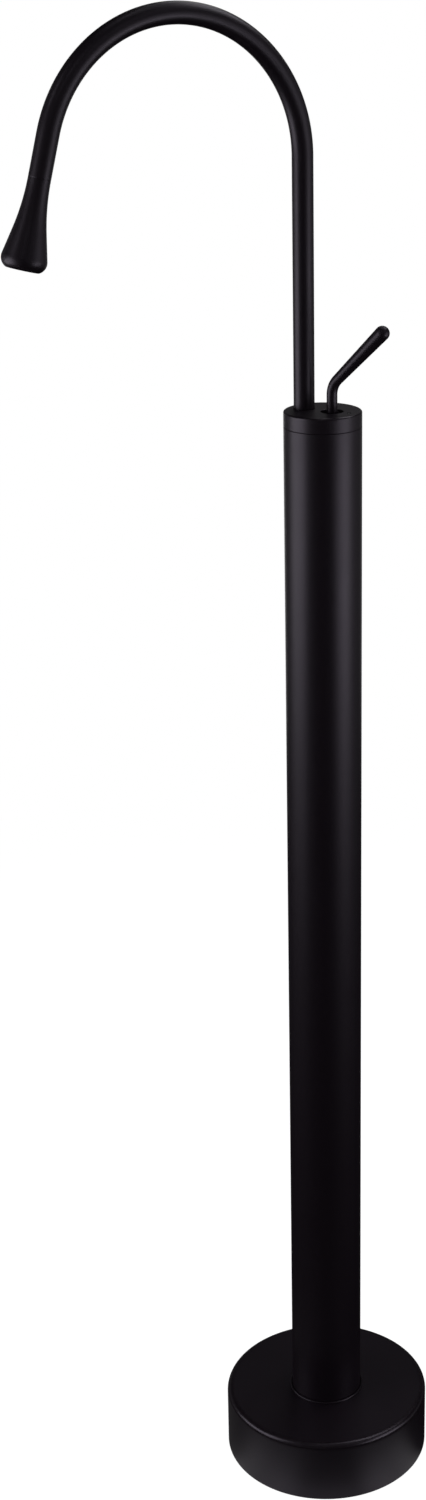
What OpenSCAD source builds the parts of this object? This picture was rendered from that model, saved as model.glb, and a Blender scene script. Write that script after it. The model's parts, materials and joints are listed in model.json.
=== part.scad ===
// Floor-standing basin mixer in millimetres, Z up, with its origin on the floor at the
// column's axis. The spout reaches out along -X, and the line through its swivel axis and
// the lever's axis is turned from X, as the cap stands in the photo.

/* [Column] */
// Outside diameter of the column and of its cap
column_d = 60; // [59:0.5:64]
// Wall of the column tube
column_wall = 1.5; // [1.2:0.1:1.8]
// Height of the column tube's top edge above the floor
column_top = 918; // [700:1:1000]
// Height of the cap above the column tube
cap_h = 12; // [11.5:0.5:14]
// Thickness of the cap's top plate
cap_plate = 4; // [3:0.5:5]
// Wall of the cap's skirt
cap_wall = 3.2; // [2.8:0.1:3.4]
// Radius on the cap's top edge
cap_edge_r = 1.5; // [0.5:0.1:2]
// Length of the cap's spigot inside the column
cap_spigot_h = 6; // [5:0.5:8]
// Chamfer that makes the fine line between cap and column
seam_chamfer = 0.4; // [0.2:0.1:0.6]
// Turn of the line through the spout's and the lever's axis from +X, seen from above
valve_turn = -60; // [-90:1:-30]
// Diameter of the index dot in front of the lever
index_d = 3.5; // [2.5:0.1:4]
// Distance of the index dot from the column's axis
index_offset = 22.2; // [21:0.1:24]
// Depth of the index dot in the cap
index_depth = 1.2; // [0.8:0.1:2]

/* [Floor flange] */
// Diameter of the flange plate
flange_d = 150; // [145:1:165]
// Thickness of the flange plate
flange_t = 8; // [6:0.5:10]
// Height of the socket that stands inside the column
socket_h = 52; // [48:1:70]
// Wall of the socket
socket_wall = 3.8; // [3:0.1:4.4]
// Diameter of the circle through the four anchor holes
anchor_pcd = 120; // [105:1:125]
// Diameter of the anchor holes
anchor_d = 9; // [7:0.5:11]
// Diameter of the circle through the three levelling screws
level_pcd = 120; // [105:1:125]
// Diameter of the levelling screws
level_d = 6; // [5:0.5:8]
// Length of the levelling screws
level_len = 10; // [9:0.5:14]
// Diameter of the screws that clamp the column to the socket
clamp_d = 6; // [4:0.5:8]
// Height of the clamping screws above the floor
clamp_z = 35; // [30:1:45]

/* [Base cover] */
// Outside diameter of the base cover
cover_d = 175; // [172:0.5:190]
// Height of the base cover
cover_h = 55.1; // [48:0.1:70]
// Wall of the base cover
cover_wall = 1.5; // [1:0.1:3]
// Thickness of the base cover's top
cover_plate = 2; // [1.5:0.1:3]
// Radius on the base cover's top edge
cover_edge_r = 4.5; // [1.5:0.1:6]
// Height of the collar's lip above the base cover
collar_lip_h = 1.8; // [1:0.1:3]
// Width of the collar's lip
collar_lip_w = 1.6; // [1.4:0.1:2.4]
// Width of the collar's flange under the base cover's top
collar_flange_w = 4.7; // [3.5:0.1:8]
// Thickness of the collar's flange
collar_flange_t = 2.4; // [2.2:0.1:4]

/* [Spout] */
// Outside diameter of the spout tube
spout_d = 16; // [15:0.1:16.6]
// Wall of the spout tube
spout_wall = 1.5; // [1.4:0.1:2]
// Distance from the column's axis to the spout's swivel axis
spout_offset = 16; // [15.8:0.1:16.4]
// Length of the straight riser above the cap
spout_rise = 187.6; // [120:0.1:260]
// Radius of the spout's bend on its centre line
spout_bend_r = 103.3; // [70:0.1:140]
// Angle that the bend turns through
spout_sweep = 165.2; // [150:0.1:178]
// Length of the straight end before the nozzle
spout_tail = 30.5; // [20:0.5:50]
// Largest turn of the spout to each side
swivel_max = 60; // [30:1:75]
// Length of the nozzle
nozzle_len = 64; // [56:0.1:75]
// Radius of the nozzle's hollow flare
flare_r = 167; // [150:1:190]
// Half angle at which the flare runs out
flare_angle = 12.5; // [11:0.1:13.5]
// Radius on the edge of the nozzle's mouth
mouth_edge_r = 8; // [6:0.1:9]
// Chamfer that makes the fine line between spout tube and nozzle
nozzle_seam = 0.3; // [0.2:0.1:0.5]
// Length of the nozzle's nipple inside the tube
nozzle_nipple = 12; // [8:0.5:18]

/* [Aerator] */
// Diameter of the aerator's housing
aerator_d = 23; // [21:0.1:24]
// Height of the aerator's housing
aerator_h = 13; // [10:0.5:14]
// Depth of the aerator inside the mouth
aerator_recess = 1.6; // [1:0.1:3]
// Thickness of the washer behind the aerator
aerator_washer_t = 2; // [1:0.1:3]

/* [Lever] */
// Distance from the column's axis to the lever's axis
lever_offset = 8; // [7.8:0.1:8.6]
// Diameter of the lever's stem
lever_d = 8.2; // [7.6:0.1:8.4]
// Diameter of the hole in the cap round the stem
lever_hole_d = 17.5; // [17.2:0.1:19]
// Length of the straight stem above the cap
lever_rise = 13; // [9:0.1:30]
// Radius of the stem's bend on its centre line
lever_bend_r = 16.7; // [10:0.1:30]
// Angle that the stem's bend turns through
lever_bend = 44.5; // [30:0.1:80]
// Length of the tapered grip
grip_len = 53.3; // [30:0.1:80]
// Diameter of the grip's round end
grip_end_d = 11.2; // [9:0.1:14]
// Largest tilt of the lever from upright
tilt_max = 20; // [15:0.5:20]

/* [Cartridge] */
// Diameter of the cartridge
cartridge_d = 25; // [24.6:0.1:25.2]
// Wall of the cartridge's housing
cartridge_wall = 1; // [0.8:0.1:1.2]
// Depth of the tilt pin below the cap's top face
pivot_depth = 11; // [10.8:0.1:11.2]
// Distance from the tilt pin down to the spindle's ball
ball_arm = 9; // [8.6:0.1:9.2]
// Diameter of the spindle's ball
ball_d = 6; // [5.6:0.1:6]
// Diameter of the tilt pin
pin_d = 2.5; // [2:0.1:2.8]
// Diameter of the rotor's neck
rotor_neck_d = 15; // [14.8:0.1:15.4]
// Thickness of the fixed ceramic disc
fixed_disc_t = 3.5; // [3:0.1:4]
// Thickness of the moving ceramic disc
moving_disc_t = 3.5; // [3:0.1:4]
// Diameter of the moving ceramic disc
moving_disc_d = 16.2; // [15.6:0.1:16.4]

/* [Supply] */
// Outside diameter of the braided hoses
hose_d = 12; // [11:0.1:12.4]
// Bore of the braided hoses
hose_bore = 8; // [7:0.1:8.4]
// Distance of each hose from the column's axis
hose_y = 11.5; // [11:0.1:11.8]
// Width across the flats of the supply nuts
supply_af = 20; // [19:0.1:21]
// Height of the supply nuts
supply_nut_h = 18; // [16:0.5:22]
// Bore of the supply nuts at the crest of their thread
supply_bore = 15; // [14.6:0.1:15.4]
// Height of the supply nuts' open ends above the floor
supply_z = 2; // [1:0.5:4]

/* [Hidden] */
$fn = 96;

// How far a cutting shape runs past the face that it cuts
cut = 1;
// Length over which a straight end laps a bend to be one piece with it
bend_lap = 0.3;
// How much larger the lapping end is than the bend
bend_step = 0.02;
// Radial clearance of a running fit
run_clear = 0.05;
// Radial clearance of threads and pressed seats
fit_clear = 0.05;
// Radial clearance of a pressed pin
press_clear = 0.01;
// Radial clearance where a plug slides into the column
plug_clear = 0.15;
// Radial clearance of a screw's free hole
screw_clear = 0.2;
// Clearance where two pieces pass each other without touching
air_clear = 0.3;
// Free depth at the blind end of a hole
blind_gap = 0.5;
// Gap between a seal and the bore round it
seal_gap = 0.02;
// Radius of the section of the small seals
small_seal_r = 0.6;

// Radii that the column fixes
column_r = column_d / 2;
column_in_r = column_r - column_wall;
cap_top = column_top + cap_h;
cap_under = cap_top - cap_plate;
cap_in_r = column_r - cap_wall;
cap_spigot_r = column_in_r - plug_clear;
body_r = column_in_r - air_clear;
body_top_r = cap_in_r - air_clear;
index_sink = 0.1;

// Axes of spout and lever on the valve's line, and the swivel axis seen from above
spout_x = -spout_offset;
lever_x = lever_offset;
swivel_axis = [spout_x * cos(valve_turn), spout_x * sin(valve_turn)];
spout_r = spout_d / 2;
spout_in_r = spout_r - spout_wall;
lever_r = lever_d / 2;

// Heights inside the cartridge, from the tilt pin downwards and upwards
pivot_z = cap_top - pivot_depth;
rotor_top = pivot_z + 3;
neck_top = rotor_top + 1;
handle_bottom = pivot_z + 6;
ball_z = pivot_z - ball_arm;
ball_r = ball_d / 2;
carrier_over_ball = 2.3;
carrier_under_ball = 7;
carrier_top = ball_z + carrier_over_ball;
carrier_bottom = ball_z - carrier_under_ball;
rotor_flange_t = 2;
rotor_flange_z = carrier_top + 0.2;
shoulder_z = rotor_flange_z + rotor_flange_t + 0.1;
rotor_seal_z = shoulder_z + 1.25;
shoulder_t = 1.9;
shoulder_top = shoulder_z + shoulder_t;
disc_film = 0.02;
moving_disc_z = carrier_bottom - moving_disc_t + disc_film;
fixed_disc_z = moving_disc_z - disc_film - fixed_disc_t;
base_flange_t = 3;
base_plug_t = 3;
seat_z = fixed_disc_z - base_plug_t - base_flange_t;

// Radii inside the cartridge
cartridge_r = cartridge_d / 2;
chamber_r = cartridge_r - cartridge_wall;
rotor_neck_r = rotor_neck_d / 2;
neck_r = rotor_neck_r + run_clear + 2;
pin_r = pin_d / 2;
hub_r = 3;
hub_drop = 3.5;
shank_r = 2;
spindle_top_r = 2.5;
spindle_top = handle_bottom + 12;
slot_half_y = hub_r + air_clear;
ball_play = 0.15;
pocket_gap = 0.4;
carrier_half_y = 6.5;
moving_disc_r = moving_disc_d / 2;
fixed_disc_r = chamber_r - 0.2;

// Ports of the cartridge, from its axis: the two inlets lie on the spout's side
inlet_port = [-3.4, 3.6];
inlet_port_r = 1.9;
outlet_port_x = 3.2;
outlet_port_r = 2.6;
port_seal_w = 1.1;
port_seal_t = 1.2;
recess_r = 2.6;
recess_h = 2;

// Retaining nut of the cartridge
nut_r = cartridge_r + 0.9;
nut_h = 6;
nut_slot_w = 3;
nut_slot_h = 1.5;

// Valve body
body_top = shoulder_top + 4.5;
body_step = column_top - cap_spigot_h;
cap_seal_z = body_step + cap_spigot_h / 2;
body_bottom = seat_z - 28;
nut_thread_z = shoulder_top - 1.5;
inlet_cross_z = seat_z - 10;
inlet_cross_r = 2.5;
outlet_cross_r = 2.5;
cross_step = 0.5;
head_ring_h = 8;
head_ring_in_r = 19.5;
head_screw_pos = [-6, 21.5];
head_screw_r = 2;
head_screw_head_r = 3.5;
head_screw_head_h = 4;
head_screw_seat = body_bottom + 10;

// Swivel of the spout
bush_r = spout_r + 1;
bush_h = 12;
tube_bottom = body_top - 16;
spigot_bottom = seat_z - 14;
spigot_plug_top = body_top + 4;
spout_bore_z = spigot_bottom - 10;
outlet_cross_z = spout_bore_z + 4;
spigot_bore_r = 4.5;
spout_seal_r = 0.9;
spout_seal_z = [spigot_bottom + 6, tube_bottom - 11];
retainer_t = 1.8;
retainer_w = 8;
retainer_screw_y = 15.5;
retainer_screw_r = 1.5;
retainer_screw_len = 10;
retainer_head_r = 2.8;
retainer_head_h = 2;
retainer_in = spout_r + 0.6;
tooth_w = 3;
tooth_tip = spout_r - 0.85;
groove_gap = 0.2;
groove_r = tooth_tip - groove_gap;
stop_play = 0.6;
groove_half = swivel_max + asin(tooth_w / 2 / tooth_tip) + stop_play;

// Spout and nozzle, with distances along the outlet counted from the end of the bend
bend_z = cap_top + spout_rise;
mouth_s = spout_tail + nozzle_len;
flare_end_s = spout_tail + flare_r * sin(flare_angle);
flare_end_r = spout_r + flare_r * (1 - cos(flare_angle));
edge_s = mouth_s - mouth_edge_r;
edge_r = flare_end_r + (edge_s - flare_end_s) * tan(flare_angle) - mouth_edge_r / cos(flare_angle);
edge_tangent = [edge_r + mouth_edge_r * cos(flare_angle), edge_s - mouth_edge_r * sin(flare_angle)];
nozzle_bore_r = 5;
aerator_r = aerator_d / 2;
aerator_end = mouth_s - aerator_recess;
aerator_start = aerator_end - aerator_h;
aerator_wall = 1.9;
aerator_in_r = aerator_r - aerator_wall;
aerator_lip = 1;
aerator_lip_w = 0.8;
key_slot_w = 2;
washer_in_r = aerator_in_r - 1.5;
outlet_disc_t = 1.2;

// Rings of holes in the aerator, each as its number of holes and its radius
insert_rings = [[6, 3.4], [12, 6.6]];
insert_hole_r = 0.9;
outlet_rings = [[1, 0], [6, 2.4], [12, 4.8], [18, 7.2]];
outlet_hole_r = 0.8;

// Lever
lever_bend_z = cap_top + lever_rise;
grip_end_r = grip_end_d / 2;
grub_r = 1.5;
grub_z = cap_top + 3;
grub_tip_r = spindle_top_r + 0.1;

// Base
socket_r = column_in_r - plug_clear;
socket_in_r = socket_r - socket_wall;
cover_r = cover_d / 2;
collar_in_r = column_r + air_clear;
collar_lap = 0.4;
collar_r = collar_in_r + collar_lip_w - collar_lap;
cover_under = cover_h - cover_plate;
cover_inside_r = max(cover_edge_r - cover_wall, cover_wall / 3);
collar_seal_r = 0.7;
collar_seal_z = cover_under - collar_flange_t / 2;
clamp_tip_r = socket_in_r + 0.6;

// Supply
hose_r = hose_d / 2;
hose_bore_r = hose_bore / 2;
supply_thread_h = 11;
supply_seal_t = 2;
tail_z = supply_z + supply_thread_h + supply_seal_t;
tail_flange_t = 2;
tail_neck_r = 5.2;
seal_slack = 0.1;
nut_relief = 0.3;
hose_bottom = supply_z + supply_nut_h + 4;
nipple_hex_h = 7;
nipple_hex_af = 11;
nipple_seal_h = 1.8;
nipple_thread_r = 4.95;
nipple_thread_h = 12;
nipple_neck_r = 4;
water_r = 2.6;
hose_top = body_bottom - nipple_seal_h - nipple_hex_h;
ferrule_h = 16;
ferrule_wall = 1.15;

// A straight tube that stands on height z
module tube(r_out, r_in, z, h) {
    translate([0, 0, z])
        difference() {
            cylinder(r = r_out, h = h);
            translate([0, 0, -cut]) cylinder(r = r_in, h = h + 2 * cut);
        }
}

// A round seal whose inside has radius r_in, with a round section
module seal(r_in, section_r, z) {
    translate([0, 0, z])
        rotate_extrude()
            translate([r_in + section_r, 0]) circle(r = section_r);
}

// The groove for a small seal between radii r_out and r_in, with its middle at height z
module seal_groove(r_out, r_in, z) {
    half = small_seal_r + run_clear;
    tube(r_out, r_in, z - half, 2 * half);
}

// Half of a round plate's outline, with a radius on its top outer edge
module plate_outline(r, h, edge) {
    square([r, h - edge]);
    square([r - edge, h]);
    translate([r - edge, h - edge]) circle(r = edge);
}

// A hexagon across the flats af, with two flats facing the Y axis
module hexagon(af, h) {
    cylinder(r = af / 2 / cos(30), h = h, $fn = 6);
}

// Turns a sub-part that is drawn with the valve's line along X onto that line
module on_valve_line() {
    rotate([0, 0, valve_turn])
        children();
}

// Puts a shape on the outlet's axis, where Z counts along the flow from the bend's end
module at_outlet() {
    translate([swivel_axis.x - spout_bend_r, swivel_axis.y, bend_z])
        rotate([0, -spout_sweep, 0])
            translate([spout_bend_r, 0, 0])
                children();
}

// Puts one copy of a shape on each hose's axis
module at_hoses() {
    for (side = [-1, 1])
        at_hose(side)
            children();
}

// Puts a shape on the axis of the hose at one side, 1 for cold and -1 for hot
module at_hose(side) {
    on_valve_line()
        translate([0, side * hose_y, 0])
            children();
}

// Base

module floor_flange() {
    color("dimgray")
        difference() {
            union() {
                cylinder(r = flange_d / 2, h = flange_t);
                cylinder(r = socket_r, h = flange_t + socket_h);
            }
            translate([0, 0, -cut]) cylinder(r = socket_in_r, h = flange_t + socket_h + 2 * cut);
            for (i = [0:3])
                rotate([0, 0, 45 + 90 * i])
                    translate([anchor_pcd / 2, 0, -cut])
                        cylinder(r = anchor_d / 2, h = flange_t + 2 * cut);
            for (i = [0:2])
                rotate([0, 0, 120 * i])
                    translate([level_pcd / 2, 0, -cut])
                        cylinder(r = level_d / 2 + fit_clear, h = flange_t + 2 * cut);
            for (i = [0:2])
                rotate([0, 0, 30 + 120 * i])
                    translate([socket_in_r - cut, 0, clamp_z])
                        rotate([0, 90, 0])
                            cylinder(r = clamp_d / 2 + fit_clear, h = socket_wall + 2 * cut);
        }
}

module levelling_screws() {
    color("silver")
        for (i = [0:2])
            rotate([0, 0, 120 * i])
                translate([level_pcd / 2, 0, air_clear])
                    difference() {
                        cylinder(r = level_d / 2, h = level_len - air_clear);
                        translate([0, 0, level_len - level_d / 2])
                            hexagon(level_d / 2, level_d);
                    }
}

module column_clamp_screws() {
    color("silver")
        for (i = [0:2])
            rotate([0, 0, 30 + 120 * i])
                translate([clamp_tip_r, 0, clamp_z])
                    rotate([0, 90, 0])
                        difference() {
                            cylinder(r = clamp_d / 2, h = column_r - clamp_tip_r - air_clear);
                            translate([0, 0, column_r - clamp_tip_r - clamp_d / 2])
                                hexagon(clamp_d / 2, clamp_d);
                        }
}

module base_cover() {
    color([0.09, 0.09, 0.1])
        rotate_extrude()
            difference() {
                plate_outline(cover_r, cover_h, cover_edge_r);
                translate([0, -cut]) plate_outline(cover_r - cover_wall, cover_under + cut, cover_inside_r);
                translate([-cut, -cut]) square([collar_r + fit_clear + cut, cover_h + 2 * cut]);
            }
}

module cover_collar() {
    color([0.12, 0.12, 0.13])
        difference() {
            union() {
                translate([0, 0, cover_under - collar_flange_t])
                    cylinder(r = collar_in_r + collar_flange_w, h = collar_flange_t);
                translate([0, 0, cover_under]) cylinder(r = collar_r, h = cover_plate);
                translate([0, 0, cover_h])
                    rotate_extrude()
                        plate_outline(collar_in_r + collar_lip_w, collar_lip_h, collar_lip_w / 2);
            }
            translate([0, 0, cover_under - collar_flange_t - cut])
                cylinder(r = collar_in_r, h = collar_flange_t + cover_plate + collar_lip_h + 2 * cut);
            tube(column_r + 2 * collar_seal_r + 2 * run_clear, column_r,
                collar_seal_z - collar_seal_r - run_clear, 2 * (collar_seal_r + run_clear));
        }
}

module collar_o_ring() {
    color("black")
        seal(column_r + run_clear, collar_seal_r, collar_seal_z);
}

// Column

module column_tube() {
    color([0.1, 0.1, 0.11])
        difference() {
            tube(column_r, column_in_r, flange_t, column_top - flange_t);
            for (i = [0:2])
                rotate([0, 0, 30 + 120 * i])
                    translate([column_in_r - cut, 0, clamp_z])
                        rotate([0, 90, 0])
                            cylinder(r = clamp_d / 2 + air_clear, h = column_wall + 2 * cut);
        }
}

module column_head_ring() {
    color("dimgray")
        on_valve_line()
            difference() {
                tube(column_in_r, head_ring_in_r, body_bottom - head_ring_h, head_ring_h);
                for (side = [-1, 1])
                    translate([head_screw_pos.x, side * head_screw_pos.y, body_bottom - head_ring_h - cut])
                        cylinder(r = head_screw_r + fit_clear, h = head_ring_h + 2 * cut);
            }
}

module head_screws() {
    color("silver")
        on_valve_line()
            for (side = [-1, 1])
                translate([head_screw_pos.x, side * head_screw_pos.y, 0])
                    difference() {
                        union() {
                            translate([0, 0, body_bottom - head_ring_h])
                                cylinder(r = head_screw_r, h = head_screw_seat - body_bottom + head_ring_h);
                            translate([0, 0, head_screw_seat])
                                cylinder(r = head_screw_head_r, h = head_screw_head_h);
                        }
                        translate([0, 0, head_screw_seat + head_screw_head_h / 2])
                            hexagon(head_screw_head_r, head_screw_head_h);
                    }
}

module cap() {
    color([0.13, 0.13, 0.14])
        on_valve_line()
            difference() {
                union() {
                    translate([0, 0, column_top])
                        rotate_extrude()
                            difference() {
                                plate_outline(column_r, cap_h, cap_edge_r);
                                polygon([[column_r - seam_chamfer, 0], [column_r + cut, -cut],
                                    [column_r + cut, cut + seam_chamfer], [column_r, seam_chamfer]]);
                            }
                    translate([0, 0, body_step]) cylinder(r = cap_spigot_r, h = cap_spigot_h);
                }
                translate([0, 0, body_step - cut])
                    cylinder(r = cap_in_r, h = cap_under - body_step + cut);
                translate([lever_x, 0, cap_under - cut])
                    cylinder(r = lever_hole_d / 2, h = cap_plate + 2 * cut);
                translate([spout_x, 0, cap_under - cut])
                    cylinder(r = spout_r + air_clear, h = cap_plate + 2 * cut);
                translate([index_offset, 0, cap_top - index_depth])
                    cylinder(r = index_d / 2 + fit_clear, h = index_depth + cut);
                seal_groove(column_in_r, column_in_r - 2 * small_seal_r - run_clear, cap_seal_z);
            }
}

module cap_o_ring() {
    color("black")
        seal(column_in_r - seal_gap - 2 * small_seal_r, small_seal_r, cap_seal_z);
}

module index_dot() {
    color([0.04, 0.04, 0.05])
        on_valve_line()
            translate([index_offset, 0, cap_top - index_depth])
                cylinder(r = index_d / 2, h = index_depth - index_sink);
}

// Valve body and what holds the spout in it

module valve_body() {
    color("peru")
        on_valve_line()
            difference() {
                union() {
                    translate([0, 0, body_bottom]) cylinder(r = body_r, h = body_step - body_bottom);
                    translate([0, 0, body_step]) cylinder(r = body_top_r, h = body_top - body_step);
                }
                cartridge_pocket();
                spout_pocket();
                outlet_passage();
                for (side = [-1, 1])
                    inlet_passage(side);
                for (side = [-1, 1])
                    translate([head_screw_pos.x, side * head_screw_pos.y, 0]) {
                        translate([0, 0, body_bottom - cut])
                            cylinder(r = head_screw_r + screw_clear,
                                h = head_screw_seat - body_bottom + 2 * cut);
                        translate([0, 0, head_screw_seat])
                            cylinder(r = head_screw_head_r + screw_clear,
                                h = body_top - head_screw_seat + cut);
                    }
            }
}

module cartridge_pocket() {
    translate([lever_x, 0, seat_z])
        cylinder(r = cartridge_r + fit_clear, h = body_top - seat_z + cut);
    translate([lever_x, 0, nut_thread_z])
        cylinder(r = nut_r + fit_clear, h = body_top - nut_thread_z + cut);
}

module spout_pocket() {
    translate([spout_x, 0, spout_bore_z])
        cylinder(r = spout_r + run_clear, h = body_top - spout_bore_z + cut);
    translate([spout_x, 0, body_top - bush_h])
        cylinder(r = bush_r + fit_clear, h = bush_h + cut);
    translate([spout_x, retainer_screw_y, body_top + retainer_t - retainer_screw_len])
        cylinder(r = retainer_screw_r + fit_clear, h = retainer_screw_len);
}

module outlet_passage() {
    translate([lever_x + outlet_port_x, 0, outlet_cross_z - outlet_cross_r - cross_step])
        cylinder(r = outlet_port_r, h = seat_z - outlet_cross_z + outlet_cross_r + cross_step + cut);
    translate([spout_x, 0, outlet_cross_z])
        rotate([0, 90, 0])
            cylinder(r = outlet_cross_r, h = lever_x + outlet_port_x - spout_x);
}

module inlet_passage(side) {
    port = [lever_x + inlet_port[0], side * inlet_port[1]];
    from = [0, side * hose_y];
    run = port - from;
    translate([from[0], from[1], body_bottom - cut])
        cylinder(r = nipple_thread_r + fit_clear, h = nipple_thread_h + 2 * cut);
    translate([from[0], from[1], body_bottom + nipple_thread_h])
        cylinder(r = inlet_cross_r + cross_step,
            h = inlet_cross_z + inlet_cross_r + cross_step - body_bottom - nipple_thread_h);
    translate([from[0], from[1], inlet_cross_z])
        rotate([0, 90, atan2(run[1], run[0])])
            cylinder(r = inlet_cross_r, h = norm(run));
    translate([port[0], port[1], inlet_cross_z])
        cylinder(r = inlet_port_r, h = seat_z - inlet_cross_z + cut);
}

module spout_bush() {
    color("ivory")
        on_valve_line()
            translate([spout_x, 0, 0])
                tube(bush_r, spout_r + run_clear, body_top - bush_h, bush_h);
}

module spout_retainer() {
    color("silver")
        on_valve_line()
            translate([spout_x, 0, body_top])
                difference() {
                    union() {
                        translate([-tooth_w / 2, tooth_tip, 0])
                            cube([tooth_w, retainer_screw_y - tooth_tip, retainer_t]);
                        translate([-retainer_w / 2, retainer_in, 0])
                            cube([retainer_w, retainer_screw_y - retainer_in, retainer_t]);
                        translate([0, retainer_screw_y, 0]) cylinder(r = retainer_w / 2, h = retainer_t);
                    }
                    translate([0, retainer_screw_y, -cut])
                        cylinder(r = retainer_screw_r + screw_clear, h = retainer_t + 2 * cut);
                }
}

module retainer_screw() {
    color("silver")
        on_valve_line()
            translate([spout_x, retainer_screw_y, body_top + retainer_t])
                difference() {
                    union() {
                        translate([0, 0, blind_gap - retainer_screw_len])
                            cylinder(r = retainer_screw_r, h = retainer_screw_len - blind_gap);
                        cylinder(r = retainer_head_r, h = retainer_head_h);
                    }
                    translate([0, 0, retainer_head_h / 2]) hexagon(retainer_head_r, retainer_head_h);
                }
}

// Cartridge

module cartridge_ports(extra, z, h) {
    for (side = [-1, 1])
        translate([inlet_port[0], side * inlet_port[1], z])
            cylinder(r = inlet_port_r + extra, h = h);
    translate([outlet_port_x, 0, z]) cylinder(r = outlet_port_r + extra, h = h);
}

module cartridge_base() {
    color("whitesmoke")
        on_valve_line()
            translate([lever_x, 0, seat_z])
                difference() {
                    union() {
                        cylinder(r = cartridge_r, h = base_flange_t);
                        cylinder(r = chamber_r - fit_clear, h = base_flange_t + base_plug_t);
                    }
                    cartridge_ports(0, -cut, base_flange_t + base_plug_t + 2 * cut);
                    cartridge_ports(port_seal_w + fit_clear, -cut, port_seal_t + cut);
                }
}

module port_seals() {
    color("black")
        on_valve_line()
            translate([lever_x, 0, seat_z])
                difference() {
                    cartridge_ports(port_seal_w, 0, port_seal_t);
                    cartridge_ports(seal_slack, -cut, port_seal_t + 2 * cut);
                }
}

module cartridge_housing() {
    color("whitesmoke")
        on_valve_line()
            translate([lever_x, 0, 0])
                difference() {
                    union() {
                        translate([0, 0, seat_z + base_flange_t])
                            cylinder(r = cartridge_r, h = shoulder_top - seat_z - base_flange_t);
                        translate([0, 0, shoulder_z]) cylinder(r = neck_r, h = neck_top - shoulder_z);
                    }
                    translate([0, 0, seat_z]) cylinder(r = chamber_r, h = shoulder_z - seat_z);
                    translate([0, 0, seat_z])
                        cylinder(r = rotor_neck_r + run_clear, h = neck_top - seat_z + cut);
                }
}

module fixed_disc() {
    color("white")
        on_valve_line()
            translate([lever_x, 0, fixed_disc_z])
                difference() {
                    cylinder(r = fixed_disc_r, h = fixed_disc_t);
                    cartridge_ports(0, -cut, fixed_disc_t + 2 * cut);
                }
}

module cartridge_nut() {
    color("goldenrod")
        on_valve_line()
            translate([lever_x, 0, 0])
                difference() {
                    tube(nut_r, neck_r + air_clear, shoulder_top, nut_h);
                    for (i = [0:1])
                        rotate([0, 0, 45 + 90 * i])
                            translate([-nut_r - cut, -nut_slot_w / 2, shoulder_top + nut_h - nut_slot_h])
                                cube([2 * (nut_r + cut), nut_slot_w, nut_slot_h + cut]);
                }
}

module rotor() {
    color("gainsboro")
        on_valve_line()
            translate([lever_x, 0, 0])
                difference() {
                    union() {
                        translate([0, 0, rotor_flange_z])
                            cylinder(r = rotor_neck_r, h = rotor_top - rotor_flange_z);
                        translate([0, 0, rotor_flange_z])
                            cylinder(r = chamber_r - run_clear, h = rotor_flange_t);
                        rotor_rails();
                    }
                    spindle_slot();
                    translate([0, 0, pivot_z])
                        rotate([90, 0, 0])
                            cylinder(r = pin_r + press_clear, h = 2 * rotor_neck_r, center = true);
                    seal_groove(rotor_neck_r + cut, rotor_neck_r - 2 * small_seal_r, rotor_seal_z);
                }
}

// The two rails under the rotor's flange, between which the carrier slides
module rotor_rails() {
    rail_z = carrier_bottom + 1;
    intersection() {
        translate([0, 0, rail_z])
            cylinder(r = chamber_r - air_clear, h = rotor_flange_z - rail_z + rotor_flange_t / 2);
        union() {
            for (side = [0, 1])
                mirror([0, side, 0])
                    translate([-chamber_r, carrier_half_y + run_clear, rail_z])
                        cube([2 * chamber_r, chamber_r, rotor_flange_z - rail_z + rotor_flange_t / 2]);
        }
    }
}

// The slot through the rotor that the spindle tilts in, drawn in the plane of the tilt
module spindle_slot() {
    above = rotor_top - pivot_z + cut;
    below = pivot_z - rotor_flange_z + cut;
    hub_x = hub_r / cos(tilt_max) + air_clear;
    hub_low = hub_drop + blind_gap;
    hub_swing = hub_x + hub_low * tan(tilt_max);
    ball_x = ball_arm * sin(tilt_max) + ball_r + air_clear;
    ball_top = ball_r + air_clear - ball_arm * cos(tilt_max);
    translate([0, slot_half_y, pivot_z])
        rotate([90, 0, 0])
            linear_extrude(height = 2 * slot_half_y)
                polygon([
                    [-hub_x, above], [hub_x + above * tan(tilt_max), above], [hub_x, 0],
                    [hub_x, -below], [-ball_x, -below], [-ball_x, ball_top],
                    [-hub_swing, ball_top], [-hub_swing, -hub_low], [-hub_x, 0]
                ]);
}

module pivot_pin() {
    color("silver")
        on_valve_line()
            translate([lever_x, 0, pivot_z])
                rotate([90, 0, 0])
                    cylinder(r = pin_r, h = 2 * (rotor_neck_r - air_clear), center = true);
}

module rotor_o_ring() {
    color("black")
        on_valve_line()
            translate([lever_x, 0, 0])
                seal(rotor_neck_r + run_clear - seal_gap - 2 * small_seal_r, small_seal_r, rotor_seal_z);
}

module disc_carrier() {
    color("lightsteelblue")
        on_valve_line()
            translate([lever_x, 0, 0])
                difference() {
                    intersection() {
                        translate([0, 0, carrier_bottom])
                            cylinder(r = moving_disc_r, h = carrier_top - carrier_bottom);
                        translate([-moving_disc_r, -carrier_half_y, carrier_bottom])
                            cube([2 * moving_disc_r, 2 * carrier_half_y, carrier_top - carrier_bottom]);
                    }
                    translate([0, 0, ball_z - ball_r - pocket_gap])
                        cylinder(r = ball_r + ball_play,
                            h = carrier_top - ball_z + ball_r + pocket_gap + cut);
                }
}

module moving_disc() {
    color("white")
        on_valve_line()
            translate([lever_x, 0, moving_disc_z])
                difference() {
                    cylinder(r = moving_disc_r, h = carrier_bottom - moving_disc_z);
                    translate([0, 0, -cut]) cylinder(r = recess_r, h = recess_h + cut);
                    translate([outlet_port_x, 0, -cut]) cylinder(r = recess_r, h = recess_h + cut);
                    translate([0, -recess_r, -cut]) cube([outlet_port_x, 2 * recess_r, recess_h + cut]);
                }
}

// Lever

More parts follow.
